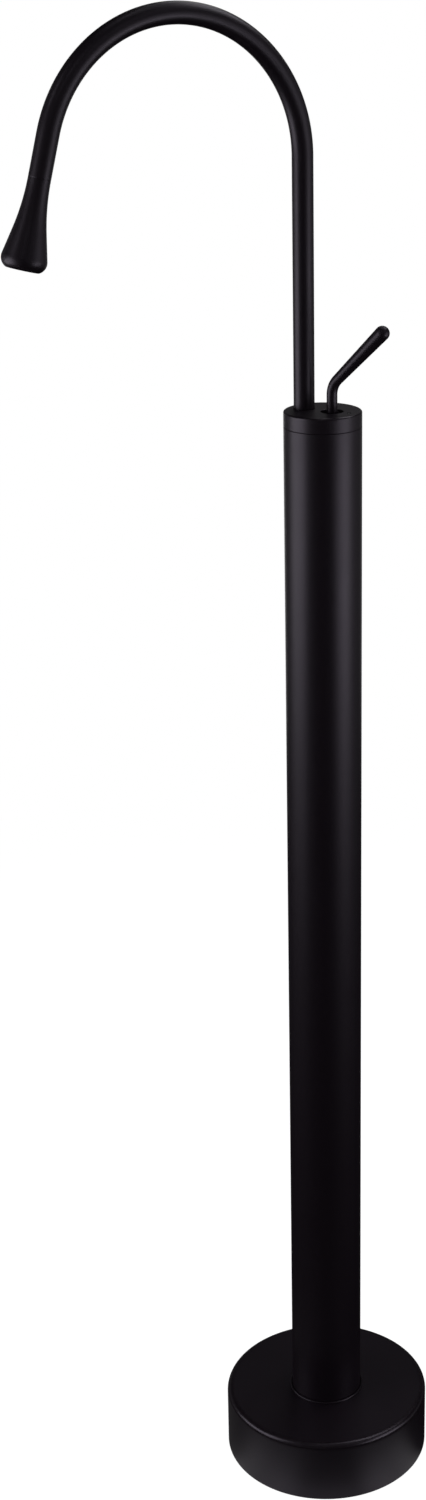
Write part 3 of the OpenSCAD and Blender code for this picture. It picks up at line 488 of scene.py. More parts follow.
class Effects:
    """Node groups that several finishes share, each built once."""

    @staticmethod
    def _group(name: str, inputs: dict[str, tuple[str, float]], outputs: list[str]) -> tuple:
        """An empty group with named sockets.

        Args:
            name: Name of the group.
            inputs: Kind and start value by the input's name.
            outputs: Names of its value outputs.

        Returns:
            The group's tree, its input node and its output node.
        """
        tree = bpy.data.node_groups.new(name, "ShaderNodeTree")
        for label, (kind, value) in inputs.items():
            socket = tree.interface.new_socket(label, in_out="INPUT", socket_type=kind)
            if kind == "NodeSocketFloat":
                socket.default_value = value
        for label in outputs:
            tree.interface.new_socket(label, in_out="OUTPUT", socket_type="NodeSocketFloat")
        return tree, tree.nodes.new("NodeGroupInput"), tree.nodes.new("NodeGroupOutput")

    def __init__(self) -> None:
        """Builds every group."""
        self.grain = self._build_grain()
        self.wear = self._build_wear()
        self.dust = self._build_dust()
        self.marks = self._build_marks()

    def _build_grain(self) -> bpy.types.NodeTree:
        """The soft dimples of a baked coat: two noises, and a slow one that mottles its gloss.

        Returns:
            The group's tree.
        """
        tree, source, sink = self._group(
            "coat_grain",
            {"Vector": ("NodeSocketVector", 0.0), "Scale": ("NodeSocketFloat", 900.0)},
            ["Height", "Mottle"],
        )
        graph = Graph(tree)
        vector, scale = source.outputs[0], source.outputs[1]
        dimples = graph.noise(vector, scale, 2.0, 0.45)
        fine = graph.noise(vector, graph.math("MULTIPLY", scale, 3.7), 1.0, 0.5)
        slow = graph.noise(vector, graph.math("MULTIPLY", scale, 0.035), 3.0, 0.6)
        height = graph.math("MULTIPLY_ADD", fine, 0.3, dimples)
        graph.wire(sink, {0: height, 1: graph.math("SUBTRACT", slow, 0.5)})
        return tree

    def _build_wear(self) -> bpy.types.NodeTree:
        """Where an edge is rubbed: the piece's edge attribute, broken up by noise.

        Returns:
            The group's tree.
        """
        tree, source, sink = self._group(
            "edge_wear",
            {
                "Vector": ("NodeSocketVector", 0.0),
                "Edge": ("NodeSocketFloat", 0.0),
                "Amount": ("NodeSocketFloat", 0.5),
            },
            ["Mask"],
        )
        graph = Graph(tree)
        broken = graph.ramp(graph.noise(source.outputs[0], 260.0, 4.0, 0.7), 0.42, 0.7, 0.15, 1.0)
        rubbed = graph.math("MULTIPLY", source.outputs[1], broken)
        graph.wire(sink, {0: graph.math("MULTIPLY", rubbed, source.outputs[2], clamp=True)})
        return tree

    def _build_dust(self) -> bpy.types.NodeTree:
        """Fine dust on faces that look up: the normal's height times a noise.

        Returns:
            The group's tree.
        """
        tree, source, sink = self._group(
            "dust_film",
            {"Vector": ("NodeSocketVector", 0.0), "Amount": ("NodeSocketFloat", 0.1)},
            ["Mask"],
        )
        graph = Graph(tree)
        normal = graph.add("ShaderNodeNewGeometry").outputs["Normal"]
        up = graph.add("ShaderNodeSeparateXYZ", {0: normal}).outputs[2]
        facing = graph.ramp(up, 0.55, 1.0, 0.0, 1.0)
        patches = graph.ramp(graph.noise(source.outputs[0], 45.0, 5.0, 0.65), 0.35, 0.75, 0.3, 1.0)
        film = graph.math("MULTIPLY", facing, patches)
        graph.wire(sink, {0: graph.math("MULTIPLY", film, source.outputs[1], clamp=True)})
        return tree

    def _build_marks(self) -> bpy.types.NodeTree:
        """Tool marks of turned or drawn metal: noise squeezed along Z, so that it lies in rings.

        Returns:
            The group's tree.
        """
        tree, source, sink = self._group(
            "tool_marks",
            {"Vector": ("NodeSocketVector", 0.0), "Scale": ("NodeSocketFloat", 2500.0)},
            ["Height", "Streak"],
        )
        graph = Graph(tree)
        squeeze = graph.add(
            "ShaderNodeVectorMath", {0: source.outputs[0], 1: (0.03, 0.03, 1.0)}, operation="MULTIPLY"
        )
        lines = graph.noise(squeeze.outputs[0], source.outputs[1], 2.0, 0.6)
        slow = graph.noise(source.outputs[0], 60.0, 3.0, 0.6)
        graph.wire(sink, {0: lines, 1: graph.math("SUBTRACT", slow, 0.5)})
        return tree


@dataclass(frozen=True)
class Finish:
    """A surface finish, written as constants on one Principled shader plus the shared effects.

    Attributes:
        slot: The record's slot that it stands for.
        colour: Colour of the clean surface.
        worn: Colour that shows through on rubbed edges and under dust.
        roughness: Middle of its roughness.
        metallic: 1 for bare metal.
        mottle: How far the roughness wanders.
        grain_scale: Scale of the surface's grain.
        bump: Height of the grain in millimetres.
        wear: Share of wear on edges.
        dust: Share of dust on top faces.
        specular: Specular level.
        tint: Colour of the light that the surface mirrors.
        coat: Weight of a clear coat.
        burnish: How much smoother the outer edges are than the rest.
        matt: How much rougher dust makes it.
    """

    slot: Slot
    colour: tuple[float, float, float]
    worn: tuple[float, float, float]
    roughness: float
    metallic: float = 0.0
    mottle: float = 0.1
    grain_scale: float = 900.0
    bump: float = 0.01
    wear: float = 0.3
    dust: float = 0.05
    specular: float = 0.5
    tint: tuple[float, float, float] = (1.0, 1.0, 1.0)
    coat: float = 0.0
    burnish: float = 0.0
    matt: float = 0.3

    def relief(self, effects: Effects) -> bpy.types.NodeTree:
        """The shared group that gives the grain: the dimples of a coat or a moulding."""
        return effects.grain

    def grain(self, graph: Graph, effects: Effects, place: Socket) -> tuple[Socket, Socket]:
        """Height and wander of the surface's grain."""
        made = graph.group(self.relief(effects), place, self.grain_scale)
        return made[0], made[1]

    def material(self, effects: Effects) -> bpy.types.Material:
        """Builds the material.

        Args:
            effects: The shared node groups.

        Returns:
            The material, named after its slot.
        """
        made = bpy.data.materials.new(f"{self.slot.value}_finish")
        made.use_nodes = True
        graph = Graph(made.node_tree)
        place = graph.add("ShaderNodeTexCoord").outputs["Object"]
        height, wander = self.grain(graph, effects, place)
        edge = graph.add("ShaderNodeAttribute", attribute_name="edge").outputs["Fac"]
        wear = graph.group(effects.wear, place, edge, self.wear)[0]
        dust = graph.group(effects.dust, place, self.dust)[0]
        shown = graph.math("MAXIMUM", wear, dust)
        colour = graph.mix(shown, (*self.colour, 1.0), (*self.worn, 1.0))
        rough = graph.math("MULTIPLY_ADD", wander, self.mottle, self.roughness)
        rough = graph.math("MULTIPLY_ADD", dust, self.matt, rough)
        rough = graph.math("MULTIPLY_ADD", edge, -self.burnish, rough, clamp=True)
        bump = graph.add(
            "ShaderNodeBump", {"Height": height, "Distance": self.bump * MM, "Strength": 1.0}
        )
        graph.wire(made.node_tree.nodes["Principled BSDF"], {
            "Base Color": colour, "Roughness": rough, "Normal": bump.outputs[0],
            "Metallic": self.metallic, "Specular IOR Level": self.specular,
            "Specular Tint": (*self.tint, 1.0), "Coat Weight": self.coat,
        })
        return made


@dataclass(frozen=True)
class TurnedMetal(Finish):
    """Bare metal with the rings that turning or drawing leaves."""

    metallic: float = 1.0
    grain_scale: float = 2500.0
    bump: float = 0.004
    dust: float = 0.0

    def relief(self, effects: Effects) -> bpy.types.NodeTree:
        """The shared group that gives the tool marks."""
        return effects.marks


@dataclass(frozen=True)
class WireBraid(Finish):
    """Round hose braided with wire: two families of strands that cross along the hose.

    Attributes:
        strands: Strands of one family round the hose.
        lead: Length in which a strand goes once round, in millimetres.
        offset: Distance of each hose from the column's axis, in millimetres.
    """

    metallic: float = 1.0
    bump: float = 0.25
    strands: float = 12.0
    lead: float = 22.0
    offset: float = 11.5

    def grain(self, graph: Graph, effects: Effects, place: Socket) -> tuple[Socket, Socket]:
        """Height and wander of the braid.

        The place is first turned back, so that both hoses stand on Y. Each family is the sine of its
        strands times (turn plus or minus height / lead), where turn is the angle round the hose's own
        axis. The higher of the two families shows.

        Args:
            graph: The material's graph.
            effects: The shared groups, of which it needs none.
            place: The point in the column's axes.

        Returns:
            The height of the strands, and how the gloss wanders.
        """
        line = (0.0, 0.0, math.radians(-LINE_TURN))
        back = graph.add("ShaderNodeMapping", {"Vector": place, "Rotation": line})
        axes = graph.add("ShaderNodeSeparateXYZ", {0: back.outputs[0]}).outputs
        from_axis = graph.math("SUBTRACT", graph.math("ABSOLUTE", axes[1]), self.offset * MM)
        turn = graph.math("DIVIDE", graph.math("ARCTAN2", from_axis, axes[0]), 2.0 * math.pi)
        rise = graph.math("DIVIDE", axes[2], self.lead * MM)
        phases = [graph.math("MULTIPLY_ADD", rise, sign, turn) for sign in (1.0, -1.0)]
        waves = [graph.math("MULTIPLY", phase, 2.0 * math.pi * self.strands) for phase in phases]
        height = graph.math("MAXIMUM", *(graph.math("SINE", wave) for wave in waves))
        return height, graph.math("MULTIPLY", height, -0.5)


FINISHES = (
    Finish(Slot.BLACK, (0.0077, 0.0046, 0.0077), (0.06, 0.055, 0.05), 0.4, mottle=0.05,
           grain_scale=850.0, bump=0.006, wear=0.1, dust=0.01, specular=0.55, tint=(0.915, 0.82, 1.0),
           burnish=0.1),
    Finish(Slot.DOT, (0.006, 0.006, 0.007), (0.05, 0.05, 0.05), 0.22, bump=0.002, wear=0.05, coat=0.3),
    TurnedMetal(Slot.ZINC, (0.46, 0.46, 0.44), (0.62, 0.62, 0.6), 0.42, mottle=0.25),
    TurnedMetal(Slot.STAINLESS, (0.6, 0.6, 0.58), (0.75, 0.75, 0.74), 0.28),
    TurnedMetal(Slot.BRASS, (0.72, 0.53, 0.25), (0.85, 0.68, 0.38), 0.3),
    TurnedMetal(Slot.NICKEL, (0.66, 0.63, 0.58), (0.78, 0.76, 0.72), 0.2),
    WireBraid(Slot.BRAID, (0.55, 0.55, 0.54), (0.7, 0.7, 0.7), 0.35),
    Finish(Slot.RUBBER, (0.015, 0.015, 0.015), (0.05, 0.05, 0.05), 0.6, bump=0.01, wear=0.1),
    Finish(Slot.PLASTIC, (0.72, 0.72, 0.69), (0.8, 0.8, 0.78), 0.42, bump=0.008, wear=0.1),
    Finish(Slot.CERAMIC, (0.82, 0.81, 0.78), (0.9, 0.9, 0.88), 0.25, bump=0.003, wear=0.1),
    TurnedMetal(Slot.CHROME, (0.8, 0.8, 0.81), (0.85, 0.85, 0.85), 0.08, bump=0.001, mottle=0.05),
)


# Sub-assemblies


@dataclass
class Workshop:
    """Puts finished pieces on their bodies and reports them.

    Attributes:
        materials: Material by slot.
    """

    materials: dict[Slot, bpy.types.Material] = field(default_factory=dict)

    def __post_init__(self) -> None:
        """Builds the material of every finish."""
        effects = Effects()
        self.materials = {finish.slot: finish.material(effects) for finish in FINISHES}

    def place(self, piece: bpy.types.Object, body: Body, slot: Slot, *nodes: str) -> None:
        """Dresses a piece, lets it ride on its body and hides the nodes that it stands for.

        Args:
            piece: The finished mesh object.
            body: The body that it rides on.
            slot: The slot of its material.
            nodes: Names of the frame's nodes that it replaces.
        """
        piece.data.materials.clear()
        piece.data.materials.append(self.materials[slot])
        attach(piece, body.value)
        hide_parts(*nodes)
        faces = len(piece.data.polygons)
        LOG.info("%s: %d faces on %s, in %s", piece.name, faces, body.value, slot.value)

    def dress(self, frame: dict) -> None:
        """Gives every node that stays its slot's material."""
        for row in frame["record"]["subparts"]:
            node = frame["nodes"][row["node"]]
            if node.hide_render:
                continue
            material = self.materials[Slot(row["material_slot"])]
            for place in node.material_slots:
                place.material = material
            LOG.info("%s: dressed in %s", node.name, row["material_slot"])


@dataclass
class Column:
    """The column tube with its clamp holes, and the cap that closes it."""

    radius: float = 30.0
    wall: float = 1.5
    bottom: float = 8.0
    top: float = 918.0
    clamp_z: float = 35.0
    clamp_hole_r: float = 3.3
    clamp_turn: float = 30.0
    clamps: int = 3
    clamp_zone: float = 8.0
    cap_top: float = 930.0
    cap_plate: float = 4.0
    cap_wall: float = 3.2
    cap_edge_r: float = 1.5
    spigot_h: float = 6.0
    plug_clear: float = 0.15
    groove_depth: float = 1.1
    groove_half: float = 0.65
    seam: float = 0.35
    lever_at: float = 8.0
    lever_hole_r: float = 8.75
    spout_at: float = -16.0
    spout_hole_r: float = 8.3
    dot_at: float = 22.2
    dot_r: float = 1.75
    dot_depth: float = 1.2
    dot_sink: float = 0.1
    dot_shoulder: float = 0.2
    dot_crown: float = 0.03
    dot_clear: float = 0.05
    columns: int = 256

    def tube(self) -> bpy.types.Object:
        """The tube: a ring section with fine edges and a chamfer at the seam, drilled for the clamps.

        Returns:
            The piece.
        """
        inner = self.radius - self.wall
        outline = rounded([
            (inner, self.bottom, 0.2), (self.radius, self.bottom, 0.3),
            (self.radius, self.clamp_z - self.clamp_zone, 0.01),
            (self.radius, self.clamp_z + self.clamp_zone, 0.01),
            (self.radius, self.top - self.seam, 0.08), (self.radius - self.seam, self.top, 0.08),
            (inner, self.top, 0.2),
        ])
        tube = solid("column_pipe", [carry(outline, BentPath(), self.columns)])
        hole = pin(self.clamp_hole_r, inner - PAST, self.radius + PAST, 0.05)
        hole = laid(carry(hole, BentPath(), 48, ring=False), "Y", 90.0, (0.0, 0.0, self.clamp_z))
        carve(tube, around(hole, self.clamps, self.clamp_turn))
        return tube

    def cap(self) -> bpy.types.Object:
        """The cap: a thick top over a skirt and a spigot, cut for the spout, the lever and the dot.

        Returns:
            The piece.
        """
        inner = self.radius - self.cap_wall
        spigot = self.radius - self.wall - self.plug_clear
        groove = spigot - self.groove_depth
        under = self.cap_top - self.cap_plate
        foot = self.top - self.spigot_h
        middle = foot + self.spigot_h / 2.0
        low, high = middle - self.groove_half, middle + self.groove_half
        outline = rounded([
            (0.0, under, 0.0), (inner, under, 0.3), (inner, foot, 0.2), (spigot, foot, 0.3),
            (spigot, low, 0.05), (groove, low, 0.1), (groove, high, 0.1), (spigot, high, 0.05),
            (spigot, self.top, 0.05), (self.radius - self.seam, self.top, 0.08),
            (self.radius, self.top + self.seam, 0.08), (self.radius, self.cap_top, self.cap_edge_r),
            (0.0, self.cap_top, 0.0),
        ], closed=False, steps=8)
        cap = solid("cap_shell", [carry(outline, BentPath(), self.columns, ring=False)])
        carve(cap, [
            self._hole(self.lever_at, self.lever_hole_r, under - PAST, 0.25),
            self._hole(self.spout_at, self.spout_hole_r, under - PAST, 0.2),
            self._hole(self.dot_at, self.dot_r + self.dot_clear, self.cap_top - self.dot_depth, 0.1),
        ])
        return cap

    def _hole(self, at: float, radius: float, bottom: float, rim: float) -> Sheet:
        """A drill on the cap's line that also breaks the hole's rim."""
        outline = drill(radius, bottom, self.cap_top, rim, 0.05)
        return turned(carry(outline, BentPath(x=at), 96, ring=False))

    def dot(self) -> bpy.types.Object:
        """The index dot: a low dome of enamel in its pocket.

        Returns:
            The piece.
        """
        foot = self.cap_top - self.dot_depth
        top = self.cap_top - self.dot_sink
        outline = rounded([
            (0.0, foot, 0.0), (self.dot_r, foot, 0.05), (self.dot_r, top - self.dot_shoulder, 0.15),
            (0.6 * self.dot_r, top - self.dot_crown, 1.0), (0.0, top, 0.0),
        ], closed=False)
        dome = carry(outline, BentPath(x=self.dot_at), 48, ring=False)
        return solid("index_enamel", [turned(dome)])

    def build(self, shop: Workshop) -> None:
        """Makes and places the pieces.

        Args:
            shop: Takes the pieces.
        """
        shop.place(self.tube(), Body.COLUMN, Slot.BLACK, "column_tube")
        shop.place(self.cap(), Body.COLUMN, Slot.BLACK, "cap")
        shop.place(self.dot(), Body.COLUMN, Slot.DOT, "index_dot")


@dataclass
class BaseCover:
    """The drum over the floor flange, and the collar that closes it round the column."""

    radius: float = 87.5
    height: float = 55.1
    wall: float = 1.5
    plate: float = 2.0
    edge_r: float = 4.5
    collar_in: float = 30.3
    lip_h: float = 1.8
    lip_w: float = 1.6
    lip_lap: float = 0.4
    flange_w: float = 4.7
    flange_t: float = 2.4
    seal_r: float = 0.7
    clear: float = 0.05
    run: float = 0.3
    columns: int = 256

    def drum(self) -> bpy.types.Object:
        """The drum: a thin wall and a top, with a rolled edge between the two and a rolled foot.

        Returns:
            The piece.
        """
        hole = self.collar_in + self.lip_w - self.lip_lap + self.clear
        under = self.height - self.plate
        inside = self.radius - self.wall
        outline = rounded([
            (hole, self.height, 0.15), (hole, under, 0.15), (inside, under, self.edge_r - self.wall),
            (inside, 0.0, 0.4), (self.radius, 0.0, 0.5), (self.radius, self.height, self.edge_r),
        ], steps=10)
        return solid("drum_cover", [carry(outline, BentPath(), self.columns)])

    def collar(self) -> bpy.types.Object:
        """The collar: a flange under the drum's top, a neck through it and a rounded lip above.

        Returns:
            The piece.
        """
        seat = self.collar_in + self.lip_w - self.lip_lap
        under = self.height - self.plate
        foot = under - self.flange_t
        middle = foot + self.flange_t / 2.0
        half = self.seal_r + self.clear
        groove = self.collar_in - self.run + 2.0 * half
        lip = self.collar_in + self.lip_w
        top = self.height + self.lip_h
        outline = rounded([
            (self.collar_in, foot, 0.15), (self.collar_in + self.flange_w, foot, 0.2),
            (self.collar_in + self.flange_w, under, 0.15), (seat, under, 0.05),
            (seat, self.height, 0.05), (lip, self.height, 0.1), (lip, top, 0.75),
            (self.collar_in, top, 0.75), (self.collar_in, middle + half, 0.05),
            (groove, middle + half, 0.1), (groove, middle - half, 0.1),
            (self.collar_in, middle - half, 0.05),
        ], steps=8)
        return solid("drum_collar", [carry(outline, BentPath(), self.columns)])

    def build(self, shop: Workshop) -> None:
        """Makes and places the pieces."""
        shop.place(self.drum(), Body.COVER, Slot.BLACK, "base_cover")
        shop.place(self.collar(), Body.COVER, Slot.BLACK, "cover_collar")


@dataclass
class Spout:
    """The swan-neck tube, its flared nozzle and the aerator's ring."""

    radius: float = 8.0
    wall: float = 1.5
    at: float = -16.0
    foot: float = 905.0
    bend_z: float = 1117.6
    bend_r: float = 103.3
    sweep: float = 165.2
    tail: float = 30.5
    groove: tuple[float, float] = (920.8, 923.0)
    groove_r: float = 6.95
    rim: float = 0.3
    foot_rim: float = 0.25
    nozzle_len: float = 64.0
    nipple: float = 12.0
    flare_r: float = 167.0
    flare_angle: float = 12.5
    mouth_edge_r: float = 8.0
    mouth_steps: int = 33
    nozzle_seam: float = 0.3
    bore: float = 5.0
    aerator_r: float = 11.5
    aerator_h: float = 13.0
    aerator_recess: float = 1.6
    aerator_wall: float = 1.9
    aerator_lip: float = 1.0
    aerator_lip_w: float = 0.8
    washer_t: float = 2.0
    key_slot: float = 2.0
    key_reach: float = 2.2
    key_inset: float = 0.5
    clear: float = 0.05
    columns: int = 96
    nozzle_columns: int = 128

    @property
    def path(self) -> BentPath:
        """The line through the middle of the tube and on through the nozzle.

        Returns:
            The line, with its stations counted from the tube's foot.
        """
        line = math.radians(LINE_TURN)
        x, y = self.at * math.cos(line), self.at * math.sin(line)
        return BentPath(x, self.foot, self.bend_z - self.foot, self.bend_r, self.sweep, -1.0, y)

    def tube(self) -> bpy.types.Object:
        """The tube: an outer and an inner wall carried along the bent line, joined at both ends.

        Each chamfer, the ditch and both ends of the bend have a support point within a millimetre, so
        that the wall between them stays straight when it is shaded smooth.

        Returns:
            The piece.
        """
        path = self.path
        rise, end = path.rise, path.bend_end + self.tail
        bend = np.linspace(rise, path.bend_end, 145)
        low, high = self.groove[0] - self.foot, self.groove[1] - self.foot
        outer = np.r_[
            self.foot_rim, 0.6, low - 0.4, high + 0.4, rise - 1.0, bend, path.bend_end + 1.0, end - 0.7,
            end - self.rim,
        ]
        outside = np.c_[np.full(outer.size, self.radius), outer, np.zeros(outer.size)]
        ditch = np.array([(self.radius, low, 0.0), (self.groove_r, low, 0.0),
                          (self.groove_r, high, 0.0), (self.radius, high, 0.0)])
        outside = np.insert(outside, 3, ditch, axis=0)
        inner = np.r_[end, end - 0.5, path.bend_end + 1.0, bend[::-4], rise - 1.0, 0.5, 0.0]
        inside = np.c_[np.full(inner.size, self.radius - self.wall), inner, np.zeros(inner.size)]
        rims = [(self.radius - 0.1, end - 0.08, 1.0), (self.radius - self.rim, end, 0.0)]
        foot = [(self.radius - self.foot_rim, 0.0, 0.0)]
        outline = np.vstack([outside, rims, inside, foot])
        return solid("swan_neck_tube", [carry(outline, path, self.columns)])

    def nozzle(self) -> bpy.types.Object:
        """The nozzle: a hollow flare that runs out to a cone, and a round mouth that holds the aerator.

        The flare is the arc in the corner between the tube's wall and the cone. The mouth's edge is the
        arc in the corner between the cone and the mouth: its middle plus the radius times (sin a, cos a),
        from the angle where the aerator's pocket cuts it to the one where it meets the cone.

        Returns:
            The piece.
        """
        start = self.path.bend_end + self.tail
        mouth = start + self.nozzle_len
        lean = math.radians(self.flare_angle)
        turn = math.pi / 2.0 + lean
        corner = start + self.flare_r * math.tan(lean / 2.0)
        tip = self.radius + (mouth - corner) * math.tan(lean)
        middle = np.array([tip - self.mouth_edge_r * math.tan(turn / 2.0), mouth - self.mouth_edge_r])
        nipple_r = self.radius - self.wall - self.clear
        seat = mouth - self.aerator_recess - self.aerator_h - self.washer_t
        pocket = self.aerator_r + self.clear
        cut = math.asin((pocket - middle[0]) / self.mouth_edge_r)
        angle = np.linspace(cut, turn, self.mouth_steps)
        edge = middle + self.mouth_edge_r * np.stack([np.sin(angle), np.cos(angle)], axis=1)
        back = start - self.nipple
        seam = self.nozzle_seam
        outline = rounded([
            (*edge[1], 0.0), (*edge[0], 0.15), (pocket, seat, 0.2), (self.bore, seat, 0.2),
            (self.bore, back, 0.2), (nipple_r, back, 0.3), (nipple_r, start, 0.1),
            (self.radius - seam, start, 0.06), (self.radius, start + seam, 0.06),
            (self.radius, corner, self.flare_r), (*edge[-1], 0.0),
        ], closed=False, steps=20)
        outline = np.vstack([outline, np.c_[edge[-2:1:-1], np.zeros(len(edge) - 3)]])
        return solid("flared_nozzle", [carry(outline, self.path, self.nozzle_columns)])

    def aerator(self) -> bpy.types.Object:
        """The aerator's ring: a sleeve with a lip turned in at its end, slotted for a key.

        Returns:
            The piece.
        """
        end = self.path.bend_end + self.tail + self.nozzle_len - self.aerator_recess
        start = end - self.aerator_h
        inner = self.aerator_r - self.aerator_wall
        lip = inner - self.aerator_lip_w
        outline = rounded([
            (self.aerator_r, start, 0.2), (self.aerator_r, end, 0.3),
            (lip, end, 0.25), (lip, end - self.aerator_lip, 0.15),
            (inner, end - self.aerator_lip, 0.15), (inner, start, 0.15),
        ])
        ring = solid("aerator_ring", [carry(outline, self.path, self.columns)])
        half, depth = self.key_slot / 2.0, self.aerator_lip / 2.0
        point, normal = self.path.at(np.array([end]))
        sweep = math.radians(self.sweep)
        ahead = np.array([-math.sin(sweep), 0.0, math.cos(sweep)])
        side = np.array([0.0, 1.0, 0.0])
        bars = []
        for along, across in ((normal[0], side), (side, normal[0])):
            for sign in (-1.0, 1.0):
                middle = point[0] + sign * along * (self.aerator_r - self.key_inset)
                bars.append(self._bar(middle, along * self.key_reach, across * half, ahead * depth))
        carve(ring, bars)
        return ring

    @staticmethod
    def _bar(middle: np.ndarray, along: np.ndarray, across: np.ndarray, deep: np.ndarray) -> Sheet:
        """A bar between two square ends: its corners are the middle plus or minus three half edges.

        Args:
            middle: The bar's middle.
            along: Half of its length.
            across: Half of its width.
            deep: Half of its depth.

        Returns:
            The grid.
        """
        square = np.array([(-1.0, -1.0), (1.0, -1.0), (1.0, 1.0), (-1.0, 1.0)])
        ring = square[:, :1] * across + square[:, 1:] * deep
        rows = np.stack([0.0 * ring - along, ring - along, ring + along, 0.0 * ring + along])
        return Sheet(middle + rows, np.zeros(rows.shape[:2]), False)

    def build(self, shop: Workshop) -> None:
        """Makes and places the pieces.

        Args:
            shop: Takes the pieces.
        """
        shop.place(self.tube(), Body.SPOUT, Slot.BLACK, "spout_tube")
        shop.place(self.nozzle(), Body.SPOUT, Slot.BLACK, "nozzle")
        shop.place(self.aerator(), Body.SPOUT, Slot.CHROME, "aerator_housing")


@dataclass
class Lever:
    """The bent lever with its tapered grip."""

    radius: float = 4.1
    at: float = 8.0
    bottom: float = 925.0
    bend_z: float = 943.0
    bend_r: float = 16.7
    sweep: float = 44.5
    grip_len: float = 53.3
    grip_r: float = 5.6
    socket_r: float = 2.55
    socket_top: float = 937.5
    grub_z: float = 933.0
    grub_hole_r: float = 1.55
    grub_from: float = 1.5
    rim: float = 0.4
    socket_rim: float = 0.3
    rows: int = 24

    def handle(self) -> bpy.types.Object:
        """The lever: a socket, a stem, a bend and a taper that ends in a half sphere.

        On the taper the distance from the axis grows evenly from the stem's radius to the grip's. On the
        end it is the root of the grip's radius squared less the way past the sphere's middle squared.

        Returns:
            The piece.
        """
        path = BentPath(self.at, self.bottom, self.bend_z - self.bottom, self.bend_r, self.sweep, 1.0)
        grip = path.bend_end
        deep = self.socket_top - self.bottom
        socket = np.array([(0.0, deep), (self.socket_r, deep), (self.socket_r, self.socket_rim)])
        inner, outer = self.socket_r + 0.2, self.radius - self.rim
        rim = np.array([(inner, 0.0), (outer, 0.0), (self.radius - 0.1, 0.1)])
        stem = np.r_[self.rim, 1.0, path.rise - 0.5, np.linspace(path.rise, grip, 33)]
        stem = np.c_[np.full(stem.size, self.radius), stem]
        share = np.linspace(0.02, 1.0, self.rows)
        taper = np.c_[self.radius + (self.grip_r - self.radius) * share, grip + self.grip_len * share]
        past = np.radians(np.linspace(3.0, 90.0, self.rows))
        dome = np.c_[self.grip_r * np.cos(past), grip + self.grip_len + self.grip_r * np.sin(past)]
        line = np.vstack([socket, rim, stem, taper, dome])
        outline = np.c_[line, np.zeros(len(line))]
        handle = solid("lever_rod", [turned(carry(outline, path, 72, ring=False))])
        hole = pin(self.grub_hole_r, self.grub_from, self.radius + PAST)
        hole = carry(hole, BentPath(), 32, ring=False)
        carve(handle, [turned(laid(hole, "X", -90.0, (self.at, 0.0, self.grub_z)))])
        return handle

    def build(self, shop: Workshop) -> None:
        """Makes and places the piece."""
        shop.place(self.handle(), Body.LEVER, Slot.BLACK, "lever_handle")


@dataclass
class FloorFlange:
    """The flange that is bolted to the floor, with its levelling and clamping screws."""

    radius: float = 75.0
    thick: float = 8.0
    socket_r: float = 28.35
    socket_wall: float = 3.8
    socket_top: float = 60.0
    circle: float = 60.0
    anchor_r: float = 4.5
    anchors: int = 4
    anchor_turn: float = 45.0
    screw_r: float = 3.0
    screws: int = 3
    level_foot: float = 0.3
    level_top: float = 10.0
    clamp_turn: float = 30.0
    clamp_z: float = 35.0
    clamp_tip: float = 25.15
    clamp_end: float = 29.7
    clear: float = 0.05
    pitch: float = 1.0
    thread: float = 0.45
    rim: float = 0.4

    def plate(self) -> bpy.types.Object:
        """The plate with its socket, drilled and tapped.

        Returns:
            The piece.
        """
        inner = self.socket_r - self.socket_wall
        outline = rounded([
            (inner, 0.0, 0.4), (self.radius, 0.0, 0.5), (self.radius, self.thick, 0.8),
            (self.socket_r, self.thick, 0.1), (self.socket_r, self.socket_top, 0.8),
            (inner, self.socket_top, 0.4),
        ], steps=6)
        plate = solid("anchor_flange", [carry(outline, BentPath(), 192)])
        tapped = self.screw_r + self.clear
        side = carry(pin(tapped, inner - PAST, self.socket_r + PAST), BentPath(), 40, ring=False)
        side = laid(side, "Y", 90.0, (0.0, 0.0, self.clamp_z))
        carve(plate, [
            *around(self._through(self.anchor_r), self.anchors, self.anchor_turn),
            *around(self._through(tapped), self.screws),
            *around(side, self.screws, self.clamp_turn),
        ])
        return plate

    def _through(self, radius: float) -> Sheet:
        """A drill through the plate, on the bolt circle."""
        outline = drill(radius, -PAST, self.thick, self.rim)
        return carry(outline, BentPath(x=self.circle), 48, ring=False)

    def _set_screws(
        self, name: str, ends: tuple[float, float], tilt: float, place: tuple, first: float = 0.0
    ) -> bpy.types.Object:
        """Threaded set screws round the column, each with a hexagon sunk in its end.

        Args:
            name: Name of the piece.
            ends: Where a screw starts and ends along its own axis.
            tilt: How far it is tilted from upright towards +X, in degrees.
            place: Where its axis starts.
            first: Angle of the first screw round the column, in degrees.

        Returns:
            The piece.
        """
        foot, end = ends
        rod = threaded(self.screw_r, self.thread, self.pitch, foot, end)
        key = pin(1.2 * self.screw_r, end - self.screw_r, end + PAST)
        key = carry(key, BentPath(), 48, flats=self.screw_r, ring=False)
        rods, keys = (around(laid(form, "Y", tilt, place), self.screws, first) for form in (rod, key))
        screws = solid(name, rods)
        carve(screws, keys)
        return screws

    def levelling(self) -> bpy.types.Object:
        """The three screws that stand on the floor through the plate.

        Returns:
            The piece.
        """
        ends = (self.level_foot, self.level_top)
        return self._set_screws("level_set_screws", ends, 0.0, (self.circle, 0.0, 0.0))

    def clamping(self) -> bpy.types.Object:
        """The three screws that press the column on to the socket.

        Returns:
            The piece.
        """
        ends = (self.clamp_tip, self.clamp_end)
        place = (0.0, 0.0, self.clamp_z)
        return self._set_screws("clamp_set_screws", ends, 90.0, place, self.clamp_turn)

    def build(self, shop: Workshop) -> None:
        """Makes and places the pieces.

        Args:
            shop: Takes the pieces.
        """
        shop.place(self.plate(), Body.COLUMN, Slot.ZINC, "floor_flange")
        shop.place(self.levelling(), Body.COLUMN, Slot.STAINLESS, "levelling_screws")
        shop.place(self.clamping(), Body.COLUMN, Slot.STAINLESS, "column_clamp_screws")


